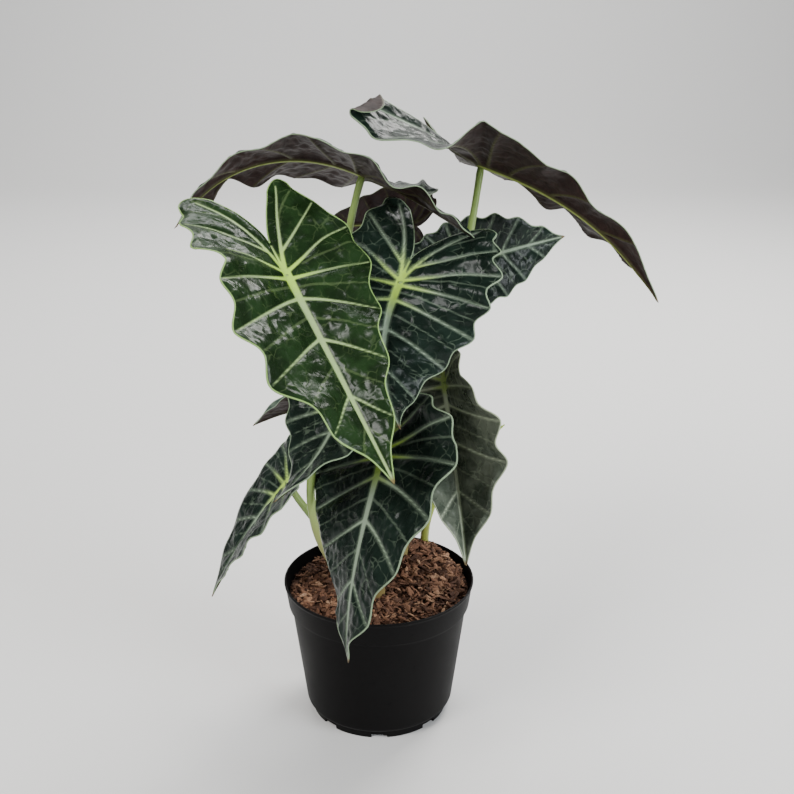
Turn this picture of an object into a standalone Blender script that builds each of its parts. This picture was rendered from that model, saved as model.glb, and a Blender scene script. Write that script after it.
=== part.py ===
"""Potted alocasia: a black nursery pot, potting mix, eleven arrow-shaped leaves on stems and a new shoot.

Metres, +Z up, the pot's foot disc on the ground at the origin, -Y to the front.
"""
import math
import random

import bpy
import numpy as np

MM = 0.001

# Fits
CLEARANCE = 0.3 * MM

# Pot
POT_HEIGHT = 90 * MM
RIM_RADIUS = 60 * MM
COLLAR_HEIGHT = 16 * MM
COLLAR_TAPER = 2.4 * MM
COLLAR_STEP = 1.8 * MM
BASE_RADIUS = 47.5 * MM
BASE_EDGE = 4 * MM
WALL = 1.2 * MM
RIM_LIP = 1.2 * MM
FOOT_HEIGHT = 5 * MM
FOOT_INSET = 3.5 * MM
FOOT_WIDTH = 3 * MM
FOOT_DISC_RADIUS = 14 * MM
FLOOR = 1.5 * MM
SLOT_COUNT = 8
SLOT_WIDTH = 10 * MM
SLOT_HEIGHT = 3.6 * MM
DRAIN_RADIUS = 3 * MM
DRAIN_RING = 31 * MM
POT_STEPS = 48

# Potting mix
MIX_DROP = 7 * MM
MOUND_HEIGHT = 16 * MM
MOUND_CENTRE = (25 * MM, 20 * MM)
MOUND_SPREAD = 27 * MM
MIX_CROWN = 5 * MM
MIX_EDGE = 12 * MM
MIX_GRIT = 0.7 * MM
MIX_RINGS = 9
SOCKET_DEPTH = 16 * MM
SOCKET_TOP = 12 * MM

# Leaves and stems
BLADE_THICKNESS = 0.7 * MM
BLADE_COLUMNS = 4
ROW_STEPS = 2
STEM_BASE_RADIUS = 3.1 * MM
STEM_TOP_RADIUS = 2.0 * MM
STEM_POINTS = 9
STEM_RISE = 4 * MM
STEM_GAP = 0.8 * MM
INNER_RING = 8 * MM
OUTER_RING = 19 * MM
SHOOT_HEIGHT = 84 * MM
SHOOT_RADIUS = 2.8 * MM
SHOOT_FOOT = (30 * MM, 31 * MM)
SHOOT_LEAN = (50 * MM, -4 * MM)
# Share of the shoot's height, then of its foot radius
SHOOT_OUTLINE = ((0.0, 1.0), (0.3, 0.85), (0.6, 0.8), (0.75, 0.95), (0.88, 0.7), (0.96, 0.4), (1.0, 0.15))

# Flat half blade, junction to tip = 1: (out, along) of the margin points, from lobe tip to leaf tip
MARGIN = (
    (0.225, -0.50), (0.33, -0.34), (0.39, -0.15), (0.385, 0.08),
    (0.345, 0.30), (0.26, 0.52), (0.135, 0.76), (0.0, 1.0))
BAYS = (0.016, 0.024, 0.027, 0.027, 0.026, 0.024, 0.018)
# Inner edge of the same half: the lobe's inner side, the sinus, then the midrib
INNER = (
    (0.225, -0.50), (0.105, -0.36), (0.0, -0.17), (0.0, 0.02),
    (0.0, 0.20), (0.0, 0.42), (0.0, 0.70), (0.0, 1.0))

# junction: mm from the rim's centre. Angles in degrees. Pairs are (left half, right half).
LEAVES = {
    "bright_leaf": dict(
        junction=(-47, -64, 211), length=127, heading=307, pitch=-42, bend=-2, sway=0, roll=1, twist=-24,
        fold=(16, 24), lobe_bend=2, lift=(-5, -43), width=(0.96, 1.02), belly=(0.85, 1.29), lobe=(0.9, 0.95),
        spread=(0.77, 0.96), ring="inner", foot=215, leave=22, bow=(-1, 4, -1, 7)),
    "centre_leaf": dict(
        junction=(13, -30, 199), length=97, heading=241, pitch=-42, bend=8, sway=56, roll=5, twist=32,
        fold=(1, 13), lobe_bend=21, lift=(6, 0), width=(1.46, 1.0), belly=(0.98, 1.0), lobe=(0.92, 1.16),
        spread=(1.04, 1.27), ring="inner", foot=270, leave=30, bow=(0, 0, 0, 0)),
    "left_arching_leaf": dict(
        junction=(-8, 16, 251), length=124, heading=175, pitch=24, bend=-76, sway=49, roll=-14, twist=-23,
        fold=(2, -5), lobe_bend=14, lift=(-1, 45), width=(1.05, 1.05), belly=(0.92, 0.8), lobe=(1.08, 0.67),
        spread=(1.32, 1.26), ring="inner", foot=135, leave=8, bow=(0, 0, 0, 0)),
    "right_arching_leaf": dict(
        junction=(61, 26, 255), length=133, heading=346, pitch=-17, bend=-36, sway=-26, roll=18, twist=25,
        fold=(6, 12), lobe_bend=-76, lift=(-8, -64), width=(1.02, 1.21), belly=(1.07, 0.61), lobe=(0.64, 0.89),
        spread=(0.93, 1.4), ring="inner", foot=45, leave=24, bow=(0, 0, 0, 0)),
    "right_back_leaf": dict(
        junction=(57, 62, 189), length=75, heading=22, pitch=11, bend=-6, sway=8, roll=-79, twist=-13,
        fold=(11, 7), lobe_bend=0, lift=(0, 0), width=(1.0, 1.03), belly=(1.05, 1.08), lobe=(1.0, 1.0),
        spread=(1.0, 1.0), ring="outer", foot=62, leave=19, bow=(0, 0, 0, 0)),
    "rim_leaf": dict(
        junction=(3, -62, 111), length=122, heading=251, pitch=-43, bend=-53, sway=-19, roll=-33, twist=-7,
        fold=(-11, 3), lobe_bend=-8, lift=(43, 0), width=(1.1, 1.22), belly=(1.0, 1.05), lobe=(0.59, 0.55),
        spread=(0.45, 1.0), ring="outer", foot=270, leave=25, bow=(0, 0, 0, 0)),
    "right_hanging_leaf": dict(
        junction=(41, 14, 126), length=113, heading=287, pitch=-68, bend=17, sway=-11, roll=-40, twist=67,
        fold=(59, 29), lobe_bend=0, lift=(0, 0), width=(1.2, 1.13), belly=(1.29, 1.19), lobe=(0.5, 0.5),
        spread=(1.0, 1.0), ring="outer", foot=38, leave=15, bow=(0, 0, 0, 0)),
    "left_low_leaf": dict(
        junction=(-55, -14, 72), length=88, heading=192, pitch=-47, bend=-18, sway=-1, roll=-3, twist=-3,
        fold=(4, 14), lobe_bend=-35, lift=(7, 0), width=(1.0, 1.0), belly=(1.04, 1.04), lobe=(0.56, 0.6),
        spread=(1.14, 1.0), ring="outer", foot=182, leave=20, bow=(0, 0, 0, 0)),
    "inner_small_leaf": dict(
        junction=(-17, -52, 142), length=78, heading=250, pitch=-45, bend=23, sway=-30, roll=5, twist=-43,
        fold=(0, 0), lobe_bend=0, lift=(0, 0), width=(1.04, 1.11), belly=(1.1, 1.13), lobe=(0.6, 0.6),
        spread=(1.0, 1.0), ring="outer", foot=226, leave=48, bow=(-3, 0, -33, 0)),
    "left_back_small_leaf": dict(
        junction=(-21, 71, 90), length=73, heading=165, pitch=-2, bend=-30, sway=-2, roll=9, twist=22,
        fold=(58, 28), lobe_bend=0, lift=(0, 0), width=(1.04, 1.0), belly=(1.09, 0.95), lobe=(1.0, 1.0),
        spread=(1.0, 1.0), ring="outer", foot=130, leave=26, bow=(0, 0, 0, 0)),
    "back_leaf": dict(
        junction=(18, 82, 209), length=68, heading=213, pitch=10, bend=-13, sway=4, roll=-77, twist=-6,
        fold=(10, 5), lobe_bend=0, lift=(0, 0), width=(1.0, 1.03), belly=(1.01, 1.06), lobe=(0.6, 0.6),
        spread=(1.0, 1.0), ring="outer", foot=94, leave=24, bow=(0, 0, 0, 0)),
}


# --- scene helpers -------------------------------------------------------------------------------

def clear_scene():
    """Remove every object already in the file."""
    for item in list(bpy.data.objects):
        bpy.data.objects.remove(item, do_unlink=True)


def collection(name, hidden=False):
    """Make a collection in the scene."""
    made = bpy.data.collections.new(name)
    bpy.context.scene.collection.children.link(made)
    made.hide_render = hidden
    return made


def paint(name, colour, roughness, metallic=0.0):
    """Make one Principled material."""
    made = bpy.data.materials.new(name)
    made.use_nodes = True
    shader = made.node_tree.nodes["Principled BSDF"]
    shader.inputs["Base Color"].default_value = (*colour, 1.0)
    shader.inputs["Roughness"].default_value = roughness
    shader.inputs["Metallic"].default_value = metallic
    made.diffuse_color = (*colour, 1.0)
    return made


def add_object(name, data, home, material=None):
    """Link data to a new named object."""
    made = bpy.data.objects.new(name, data)
    home.objects.link(made)
    if material is not None:
        made.data.materials.append(material)
    return made


def mesh_from(name, vertices, faces):
    """Make a mesh from plain lists."""
    made = bpy.data.meshes.new(name)
    made.from_pydata([tuple(float(value) for value in vertex) for vertex in vertices], [], faces)
    made.update()
    return made


def turned(name, profile, home, material, steps=POT_STEPS):
    """Turn a closed (radius, height) outline round the Z axis."""
    count = len(profile)
    vertices = [(radius, 0.0, height) for radius, height in profile]
    data = bpy.data.meshes.new(name)
    edges = [(index, index + 1) for index in range(count - 1)]
    data.from_pydata(vertices, edges, [])
    made = add_object(name, data, home, material)
    screw = made.modifiers.new("turn", "SCREW")
    screw.steps = steps
    screw.render_steps = steps
    screw.use_merge_vertices = True
    screw.merge_threshold = 0.00005
    screw.use_normal_calculate = True
    return made


def cut(target, cutter):
    """Subtract a cutter from a target."""
    boolean = target.modifiers.new(cutter.name, "BOOLEAN")
    boolean.operation = "DIFFERENCE"
    boolean.solver = "EXACT"
    boolean.object = cutter
    cutter.hide_render = True
    cutter.display_type = "WIRE"


def block(name, size, place, turn, home):
    """Make a box centred on a place and turned about Z."""
    half = [value / 2 for value in size]
    corners = [(x * half[0], y * half[1], z * half[2]) for x in (-1, 1) for y in (-1, 1) for z in (-1, 1)]
    faces = [(0, 1, 3, 2), (4, 6, 7, 5), (0, 4, 5, 1), (2, 3, 7, 6), (0, 2, 6, 4), (1, 5, 7, 3)]
    made = add_object(name, mesh_from(name, corners, faces), home)
    made.location = place
    made.rotation_euler = (0.0, 0.0, turn)
    return made


def rod(name, radius, bottom, top, home, sides=16):
    """Make an upright closed cylinder between two heights at (x, y)."""
    x, y, low = bottom
    turns = [2 * math.pi * side / sides for side in range(sides)]
    ring = [(x + radius * math.cos(turn), y + radius * math.sin(turn)) for turn in turns]
    vertices = [(*corner, low) for corner in ring]
    vertices += [(*corner, top) for corner in ring]
    faces = [(side, (side + 1) % sides, sides + (side + 1) % sides, sides + side) for side in range(sides)]
    faces.append(tuple(reversed(range(sides))))
    faces.append(tuple(range(sides, 2 * sides)))
    return add_object(name, mesh_from(name, vertices, faces), home)


# --- pot -----------------------------------------------------------------------------------------

def body_radius(height):
    """Outer radius of the tapered body below the collar."""
    top = RIM_RADIUS - COLLAR_TAPER - COLLAR_STEP
    low = FOOT_HEIGHT + BASE_EDGE
    share = (height - low) / (POT_HEIGHT - COLLAR_HEIGHT - low)
    return BASE_RADIUS + (top - BASE_RADIUS) * share


def inner_radius(height):
    """Inner radius of the pot's wall."""
    collar_foot = POT_HEIGHT - COLLAR_HEIGHT
    if height >= collar_foot:
        share = (height - collar_foot) / COLLAR_HEIGHT
        return RIM_RADIUS - COLLAR_TAPER * (1 - share) - WALL - COLLAR_STEP * (1 - share)
    return body_radius(height) - WALL


def pot_profile():
    """Closed outline of the pot's wall, floor and foot, starting and ending on the axis."""
    collar_foot = POT_HEIGHT - COLLAR_HEIGHT
    low = FOOT_HEIGHT + BASE_EDGE
    foot_outer = BASE_RADIUS - FOOT_INSET
    foot_inner = foot_outer - FOOT_WIDTH
    edge = [
        (BASE_RADIUS - BASE_EDGE * (1 - math.cos(turn)), low - BASE_EDGE * math.sin(turn))
        for turn in map(math.radians, (0, 25, 50, 70))]
    points = [
        (0.0, FOOT_HEIGHT + FLOOR),
        (BASE_RADIUS - BASE_EDGE, FOOT_HEIGHT + FLOOR),
        (inner_radius(low + WALL), low + WALL),
        (inner_radius(collar_foot), collar_foot),
        (inner_radius(POT_HEIGHT), POT_HEIGHT - 0.4 * MM),
        (RIM_RADIUS - 0.8 * MM, POT_HEIGHT),
        (RIM_RADIUS - 0.3 * MM, POT_HEIGHT - 0.1 * MM),
        (RIM_RADIUS, POT_HEIGHT - 0.5 * MM),
        (RIM_RADIUS, POT_HEIGHT - RIM_LIP),
        (RIM_RADIUS - COLLAR_TAPER * 0.3, POT_HEIGHT - RIM_LIP - 1.5 * MM),
        (RIM_RADIUS - COLLAR_TAPER, collar_foot + 0.6 * MM),
        (RIM_RADIUS - COLLAR_TAPER - 0.6 * MM, collar_foot - 0.2 * MM),
        (body_radius(collar_foot - 1.5 * MM), collar_foot - 1.5 * MM),
    ]
    points += edge
    points += [
        (foot_outer + 0.4 * MM, FOOT_HEIGHT - 0.6 * MM),
        (foot_outer, 0.5 * MM),
        (foot_outer - 0.5 * MM, 0.0),
        (foot_inner + 0.5 * MM, 0.0),
        (foot_inner, 0.5 * MM),
        (foot_inner, FOOT_HEIGHT),
        (FOOT_DISC_RADIUS + 1 * MM, FOOT_HEIGHT),
        (FOOT_DISC_RADIUS, 0.4 * MM),
        (FOOT_DISC_RADIUS - 0.4 * MM, 0.0),
        (0.0, 0.0),
    ]
    return points


def black_plastic():
    """Thin dark moulded plastic."""
    return paint("black_plastic", (0.012, 0.012, 0.013), 0.42)


def build_pot(home, cutters):
    """Build the nursery pot with its slotted foot ring and drain holes."""
    pot = turned("nursery_pot", pot_profile(), home, black_plastic())
    ring = BASE_RADIUS - FOOT_INSET - FOOT_WIDTH / 2
    for index in range(SLOT_COUNT):
        turn = 2 * math.pi * index / SLOT_COUNT
        place = (ring * math.cos(turn), ring * math.sin(turn), SLOT_HEIGHT / 2 - 1 * MM)
        size = (3 * FOOT_WIDTH, SLOT_WIDTH, SLOT_HEIGHT + 2 * MM)
        cut(pot, block(f"foot_slot_cutter_{index + 1}", size, place, turn, cutters))
        hole = (DRAIN_RING * math.cos(turn), DRAIN_RING * math.sin(turn), FOOT_HEIGHT - 2 * MM)
        top = FOOT_HEIGHT + FLOOR + 1 * MM
        cut(pot, rod(f"drain_cutter_{index + 1}", DRAIN_RADIUS, hole, top, cutters, 12))
    return pot


# --- potting mix ---------------------------------------------------------------------------------

def mix_level(x, y):
    """Height of the mix's surface: low at the wall, heaped to the back right."""
    reach = math.hypot(x, y)
    full = inner_radius(POT_HEIGHT - MIX_DROP)
    away = math.hypot(x - MOUND_CENTRE[0], y - MOUND_CENTRE[1])
    heap = MOUND_HEIGHT * math.exp(-((away / MOUND_SPREAD) ** 2))
    edge = min(1.0, max(0.0, (full - reach) / MIX_EDGE))
    crown = MIX_CROWN * (1 - (reach / full) ** 2)
    return POT_HEIGHT - MIX_DROP + crown + heap * (0.25 + 0.75 * edge)


def build_mix(home, cutters, feet):
    """Build the heaped potting mix with one socket for each stem."""
    steps = POT_STEPS
    rings = MIX_RINGS
    chance = random.Random(11)
    vertices = []
    full = inner_radius(POT_HEIGHT - MIX_DROP) - CLEARANCE
    vertices.append((0.0, 0.0, mix_level(0.0, 0.0)))
    for ring in range(1, rings + 1):
        for step in range(steps):
            turn = 2 * math.pi * step / steps
            radius = full * ring / rings
            x = radius * math.cos(turn)
            y = radius * math.sin(turn)
            grit = MIX_GRIT * chance.uniform(-1, 1) if ring < rings else -MIX_GRIT
            vertices.append((x, y, mix_level(x, y) + grit))
    collar_foot = POT_HEIGHT - COLLAR_HEIGHT
    floor = FOOT_HEIGHT + FLOOR + CLEARANCE
    walls = [
        (inner_radius(collar_foot) - CLEARANCE, collar_foot),
        (inner_radius(FOOT_HEIGHT + BASE_EDGE + 2 * WALL) - CLEARANCE, FOOT_HEIGHT + BASE_EDGE + 2 * WALL),
        (BASE_RADIUS - BASE_EDGE - 1 * MM, floor),
    ]
    for radius, height in walls:
        for step in range(steps):
            turn = 2 * math.pi * step / steps
            vertices.append((radius * math.cos(turn), radius * math.sin(turn), height))
    vertices.append((0.0, 0.0, floor))
    faces = [(0, 1 + step, 1 + (step + 1) % steps) for step in range(steps)]
    for ring in range(rings + len(walls) - 1):
        start = 1 + ring * steps
        for step in range(steps):
            after = (step + 1) % steps
            faces.append((start + step, start + steps + step, start + steps + after, start + after))
    last = 1 + (rings + len(walls) - 1) * steps
    bottom = len(vertices) - 1
    faces += [(last + (step + 1) % steps, last + step, bottom) for step in range(steps)]
    material = paint("bark_mix", (0.16, 0.062, 0.03), 0.92)
    mix = add_object("potting_mix", mesh_from("potting_mix", vertices, faces), home, material)
    for name, (x, y, radius) in feet.items():
        level = mix_level(x, y)
        foot = (x, y, level - SOCKET_DEPTH)
        cut(mix, rod(f"{name}_socket_cutter", radius + CLEARANCE, foot, level + SOCKET_TOP, cutters))
    return mix


# --- leaf blades ---------------------------------------------------------------------------------

def blend(points, place):
    """Point at a fractional index along a list of points."""
    index = min(int(place), len(points) - 2)
    share = place - index
    return np.array(points[index]) * (1 - share) + np.array(points[index + 1]) * share


def margin_point(place):
    """Point on the scalloped margin at a fractional index."""
    index = min(int(place), len(MARGIN) - 2)
    share = place - index
    start = np.array(MARGIN[index])
    step = np.array(MARGIN[index + 1]) - start
    inward = np.array((-step[1], step[0])) / math.hypot(*step)
    return start + step * share + inward * BAYS[index] * 4 * share * (1 - share)


def proportion(leaf, out, along, half):
    """Fit the template to one leaf's own proportions. half is 0 for left, 1 for right."""
    back = min(1.0, max(0.0, -along / 0.5))
    forward = min(1.0, max(0.0, along / 0.95))
    out = out * (1 + (leaf["belly"][half] - 1) * math.sin(math.pi * forward))
    out = out * leaf["width"][half] * (1 + (leaf["spread"][half] - 1) * back ** 1.5)
    if along < 0:
        along = along * (1 + (leaf["lobe"][half] - 1) * math.sqrt(back))
    return out, along


def leaf_frame(leaf, along):
    """Direction, right side and upper normal of the blade's spine at one place."""
    ahead = min(1.0, max(1e-9, along))
    back = min(1.4, max(0.0, -along / 0.5))
    rise = math.radians(leaf["pitch"] + leaf["bend"] * ahead + leaf["lobe_bend"] * back)
    turn = math.radians(leaf["heading"] + leaf["sway"] * ahead)
    roll = math.radians(leaf["roll"] + leaf["twist"] * ahead)
    tangent = np.array((math.cos(rise) * math.cos(turn), math.cos(rise) * math.sin(turn), math.sin(rise)))
    side = np.array((math.sin(turn), -math.cos(turn), 0.0))
    upper = np.cross(side, tangent)
    right = math.cos(roll) * side + math.sin(roll) * upper
    normal = math.cos(roll) * upper - math.sin(roll) * side
    return tangent, right, normal


def junction_of(leaf):
    """Where the stem meets the blade."""
    x, y, z = leaf["junction"]
    return np.array((x * MM, y * MM, POT_HEIGHT + z * MM))


def spine_point(leaf, along):
    """Follow the bent spine from the junction to one place."""
    steps = 24
    place = np.zeros(3)
    for step in range(steps):
        tangent, _, _ = leaf_frame(leaf, along * (step + 0.5) / steps)
        place = place + tangent * along / steps
    return junction_of(leaf) + place * leaf["length"] * MM


def blade_point(leaf, out, along, half):
    """Place one point of a half blade in space."""
    out, along = proportion(leaf, out, along, half)
    _, right, normal = leaf_frame(leaf, along)
    back = min(1.4, max(0.0, -along / 0.5))
    tilt = math.radians(leaf["fold"][half] + leaf["lift"][half] * back)
    sign = 1 if half == 1 else -1
    reach = out * leaf["length"] * MM
    return spine_point(leaf, along) + sign * reach * math.cos(tilt) * right + reach * math.sin(tilt) * normal


def half_points(leaf, half):
    """Rows of points from the inner edge to the margin, from lobe tip to leaf tip."""
    rows = []
    last = (len(MARGIN) - 1) * ROW_STEPS
    for row in range(last + 1):
        place = row / ROW_STEPS
        outer = margin_point(place)
        inner = blend(INNER, place)
        if row in (0, last):
            rows.append([blade_point(leaf, *outer, half)])
            continue
        line = []
        for column in range(BLADE_COLUMNS):
            share = column / (BLADE_COLUMNS - 1)
            out, along = inner * (1 - share) + outer * share
            line.append(blade_point(leaf, out, along, half))
        rows.append(line)
    return rows


def build_blade(name, leaf, home, material):
    """Build one arrow-shaped blade as a thin closed sheet."""
    vertices = []
    faces = []
    shared = {}
    meet = 2 * ROW_STEPS
    for half in (0, 1):
        rows = half_points(leaf, half)
        index = []
        for number, line in enumerate(rows):
            row_index = []
            for column, point in enumerate(line):
                on_midrib = column == 0 and number >= meet
                if on_midrib and number in shared:
                    row_index.append(shared[number])
                    continue
                vertices.append(point)
                row_index.append(len(vertices) - 1)
                if on_midrib:
                    shared[number] = len(vertices) - 1
            index.append(row_index)
        for number in range(len(index) - 1):
            here = index[number]
            there = index[number + 1]
            if len(here) == 1:
                quads = [(here[0], there[column + 1], there[column]) for column in range(len(there) - 1)]
            elif len(there) == 1:
                quads = [(here[column], here[column + 1], there[0]) for column in range(len(here) - 1)]
            else:
                quads = [
                    (here[column], here[column + 1], there[column + 1], there[column])
                    for column in range(len(here) - 1)]
            if half == 0:
                quads = [tuple(reversed(quad)) for quad in quads]
            faces += quads
    blade = add_object(name, mesh_from(name, vertices, faces), home, material)
    shell = blade.modifiers.new("thickness", "SOLIDIFY")
    shell.thickness = BLADE_THICKNESS
    shell.offset = -1.0
    shell.use_even_offset = False
    return blade


# --- stems ---------------------------------------------------------------------------------------

def foot_place(leaf):
    """Where a stem leaves the mix, on the inner or the outer ring."""
    radius = INNER_RING if leaf["ring"] == "inner" else OUTER_RING
    turn = math.radians(leaf["foot"])
    return radius * math.cos(turn), radius * math.sin(turn)


def stem_path(leaf):
    """Points of a stem from its socket to just under its blade."""
    x, y = foot_place(leaf)
    level = mix_level(x, y)
    tangent, _, normal = leaf_frame(leaf, 0.0)
    away = math.radians(leaf["leave"])
    turn = math.radians(leaf["foot"])
    leave = np.array((math.sin(away) * math.cos(turn), math.sin(away) * math.sin(turn), math.cos(away)))
    arrive = normal * 0.8 + np.array((0.0, 0.0, 0.6)) - 0.1 * tangent
    arrive = arrive / np.linalg.norm(arrive)
    slant = math.sqrt(max(0.0, 1 - float(np.dot(arrive, normal)) ** 2))
    dip = STEM_TOP_RADIUS * max(0.0, -math.sin(math.radians(min(leaf["fold"]))))
    gap = BLADE_THICKNESS + STEM_GAP + STEM_TOP_RADIUS * slant + dip
    start = np.array((x, y, level + STEM_RISE))
    end = junction_of(leaf) - normal * gap
    span = float(np.linalg.norm(end - start))
    first = start + leave * span * 0.42 + np.array((*leaf["bow"][:2], 0.0)) * MM
    second = end - arrive * span * 0.30 + np.array((*leaf["bow"][2:], 0.0)) * MM
    points = [np.array((x, y, level - SOCKET_DEPTH + CLEARANCE))]
    for step in range(STEM_POINTS):
        t = step / (STEM_POINTS - 1)
        s = 1 - t
        points.append(s ** 3 * start + 3 * s * s * t * first + 3 * s * t * t * second + t ** 3 * end)
    return points


def tube(name, points, radii, home, material):
    """Make a closed tapering round tube along a list of points."""
    data = bpy.data.curves.new(name, "CURVE")
    data.dimensions = "3D"
    data.bevel_depth = 1.0
    data.bevel_resolution = 2
    data.use_fill_caps = True
    line = data.splines.new("POLY")
    line.points.add(len(points) - 1)
    for point, place, radius in zip(line.points, points, radii):
        point.co = (*[float(value) for value in place], 1.0)
        point.radius = radius
    return add_object(name, data, home, material)


def build_stem(name, leaf, home, material):
    """Build one leaf stem, thicker at the mix than at the blade."""
    points = stem_path(leaf)
    count = len(points)
    thinning = (STEM_TOP_RADIUS - STEM_BASE_RADIUS) / (count - 1)
    radii = [STEM_BASE_RADIUS + thinning * index for index in range(count)]
    radii[0] = STEM_BASE_RADIUS
    radii[1] = STEM_BASE_RADIUS
    return tube(name, points, radii, home, material)


def build_shoot(home, material):
    """Build the rolled new shoot."""
    x, y = SHOOT_FOOT
    level = mix_level(x, y)
    points = [(x, y, level - SOCKET_DEPTH + CLEARANCE)]
    radii = [SHOOT_RADIUS]
    for share, wide in SHOOT_OUTLINE:
        lean = share * share
        points.append((x + SHOOT_LEAN[0] * lean, y + SHOOT_LEAN[1] * lean, level + SHOOT_HEIGHT * share))
        radii.append(SHOOT_RADIUS * wide)
    return tube("new_shoot", points, radii, home, material)


# --- whole plant ---------------------------------------------------------------------------------

def leaf_material(name):
    """Colour of one kind of blade."""
    colours = {
        "bright_leaf": (0.05, 0.16, 0.025),
        "left_arching_leaf": (0.06, 0.045, 0.04),
        "right_arching_leaf": (0.06, 0.045, 0.04),
        "back_leaf": (0.03, 0.02, 0.022),
    }
    return paint(f"{name}_skin", colours.get(name, (0.022, 0.05, 0.038)), 0.35)


def build_plant():
    """Build the whole potted plant."""
    clear_scene()
    home = collection("potted_alocasia")
    cutters = collection("cutters", hidden=True)
    build_pot(home, cutters)
    feet = {name: (*foot_place(leaf), STEM_BASE_RADIUS) for name, leaf in LEAVES.items()}
    feet["new_shoot"] = (*SHOOT_FOOT, SHOOT_RADIUS)
    build_mix(home, cutters, feet)
    green = paint("stem_green", (0.16, 0.26, 0.06), 0.5)
    for name, leaf in LEAVES.items():
        build_blade(name, leaf, home, leaf_material(name))
        build_stem(f"{name}_stem", leaf, home, green)
    build_shoot(home, paint("shoot_green", (0.3, 0.42, 0.05), 0.45))


build_plant()
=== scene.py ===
"""Potted alocasia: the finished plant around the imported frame."""

import math
import random

import bmesh
import bpy
import numpy as np
from bpy.props import FloatProperty, FloatVectorProperty, IntProperty, PointerProperty
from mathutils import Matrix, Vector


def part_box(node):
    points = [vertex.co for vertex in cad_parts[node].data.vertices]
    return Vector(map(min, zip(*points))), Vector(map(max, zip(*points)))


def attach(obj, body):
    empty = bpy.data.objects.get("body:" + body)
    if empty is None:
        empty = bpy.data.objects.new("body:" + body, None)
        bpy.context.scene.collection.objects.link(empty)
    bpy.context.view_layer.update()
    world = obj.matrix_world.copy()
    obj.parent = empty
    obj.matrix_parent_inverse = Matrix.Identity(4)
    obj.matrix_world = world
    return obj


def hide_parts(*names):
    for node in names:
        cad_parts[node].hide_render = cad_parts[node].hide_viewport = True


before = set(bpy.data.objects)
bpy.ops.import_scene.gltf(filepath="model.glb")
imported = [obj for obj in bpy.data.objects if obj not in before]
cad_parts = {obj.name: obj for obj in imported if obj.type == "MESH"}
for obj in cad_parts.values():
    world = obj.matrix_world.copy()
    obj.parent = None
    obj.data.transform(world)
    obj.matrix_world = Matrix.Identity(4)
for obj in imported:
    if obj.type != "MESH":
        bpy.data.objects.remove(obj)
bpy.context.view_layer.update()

bl_info = {
    "name": "Potted alocasia",
    "version": (1, 0, 0),
    "blender": (4, 5, 0),
    "location": "3D View > Sidebar > Alocasia",
    "description": "Builds a potted alocasia with veined leaves, stems, bark mix and a nursery pot",
    "category": "Object",
}

MM = 0.001
POT_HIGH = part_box("nursery_pot")[1]
POT_HEIGHT = float(POT_HIGH[2])
RIM_RADIUS = float(POT_HIGH[0])
SOCKET_DEPTH = 16 * MM

# Flat half blade with junction to tip as 1: (out, along) from lobe tip to leaf tip
TEETH = (
    (0.285, -0.475), (0.338, -0.335), (0.39, -0.15), (0.385, 0.08),
    (0.345, 0.30), (0.26, 0.52), (0.135, 0.76), (0.0, 1.0))
BAYS = (0.020, 0.030, 0.030, 0.030, 0.028, 0.026, 0.016)
INNER = (
    (0.135, -0.455), (0.052, -0.315), (0.0, -0.17), (0.0, 0.02),
    (0.0, 0.20), (0.0, 0.42), (0.0, 0.70), (0.0, 1.0))
LOBE_CAP = (0.018, -0.052)
# Main veins of a half: points, then the half width in mm at each end on a 125 mm blade
MAIN_VEINS = (
    (((0.0, 0.0), (0.0, 0.5), (0.0, 1.0)), 2.7, 0.45),
    (((0.0, 0.0), (0.0, -0.15)), 0.9, 0.35),
    (((0.0, 0.0), (0.045, -0.15), (0.11, -0.31), (0.205, -0.475)), 1.15, 0.30),
    (((0.035, -0.11), (0.15, -0.20), (0.235, -0.265), (0.318, -0.33)), 0.75, 0.25),
    (((0.0, 0.0), (0.10, -0.045), (0.24, -0.115), (0.378, -0.145)), 0.95, 0.25),
    (((0.0, 0.03), (0.10, 0.038), (0.24, 0.052), (0.373, 0.078)), 0.95, 0.25),
    (((0.0, 0.13), (0.09, 0.165), (0.21, 0.225), (0.335, 0.295)), 0.95, 0.25),
    (((0.0, 0.33), (0.07, 0.375), (0.15, 0.435), (0.25, 0.512)), 0.85, 0.22),
    (((0.0, 0.60), (0.04, 0.645), (0.08, 0.695), (0.13, 0.752)), 0.65, 0.20),
)
MINOR_VEINS = (
    (((0.075, -0.24), (0.14, -0.33), (0.25, -0.42)), 0.35, 0.12),
    (((0.09, -0.02), (0.22, -0.04), (0.38, -0.04)), 0.35, 0.12),
    (((0.0, 0.075), (0.14, 0.11), (0.35, 0.185)), 0.40, 0.12),
    (((0.0, 0.225), (0.11, 0.285), (0.29, 0.405)), 0.40, 0.12),
    (((0.0, 0.46), (0.07, 0.525), (0.18, 0.635)), 0.36, 0.12),
    (((0.0, 0.74), (0.03, 0.79), (0.065, 0.86)), 0.30, 0.10),
)

# What a leaf has unless it says otherwise
USUAL = dict(
    late=1.0, lobe_bend=0, lift=(0, 0), spread=(1.0, 1.0), ring="outer", bow=(0, 0, 0, 0),
    finish="dark", puff=1.0)

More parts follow.
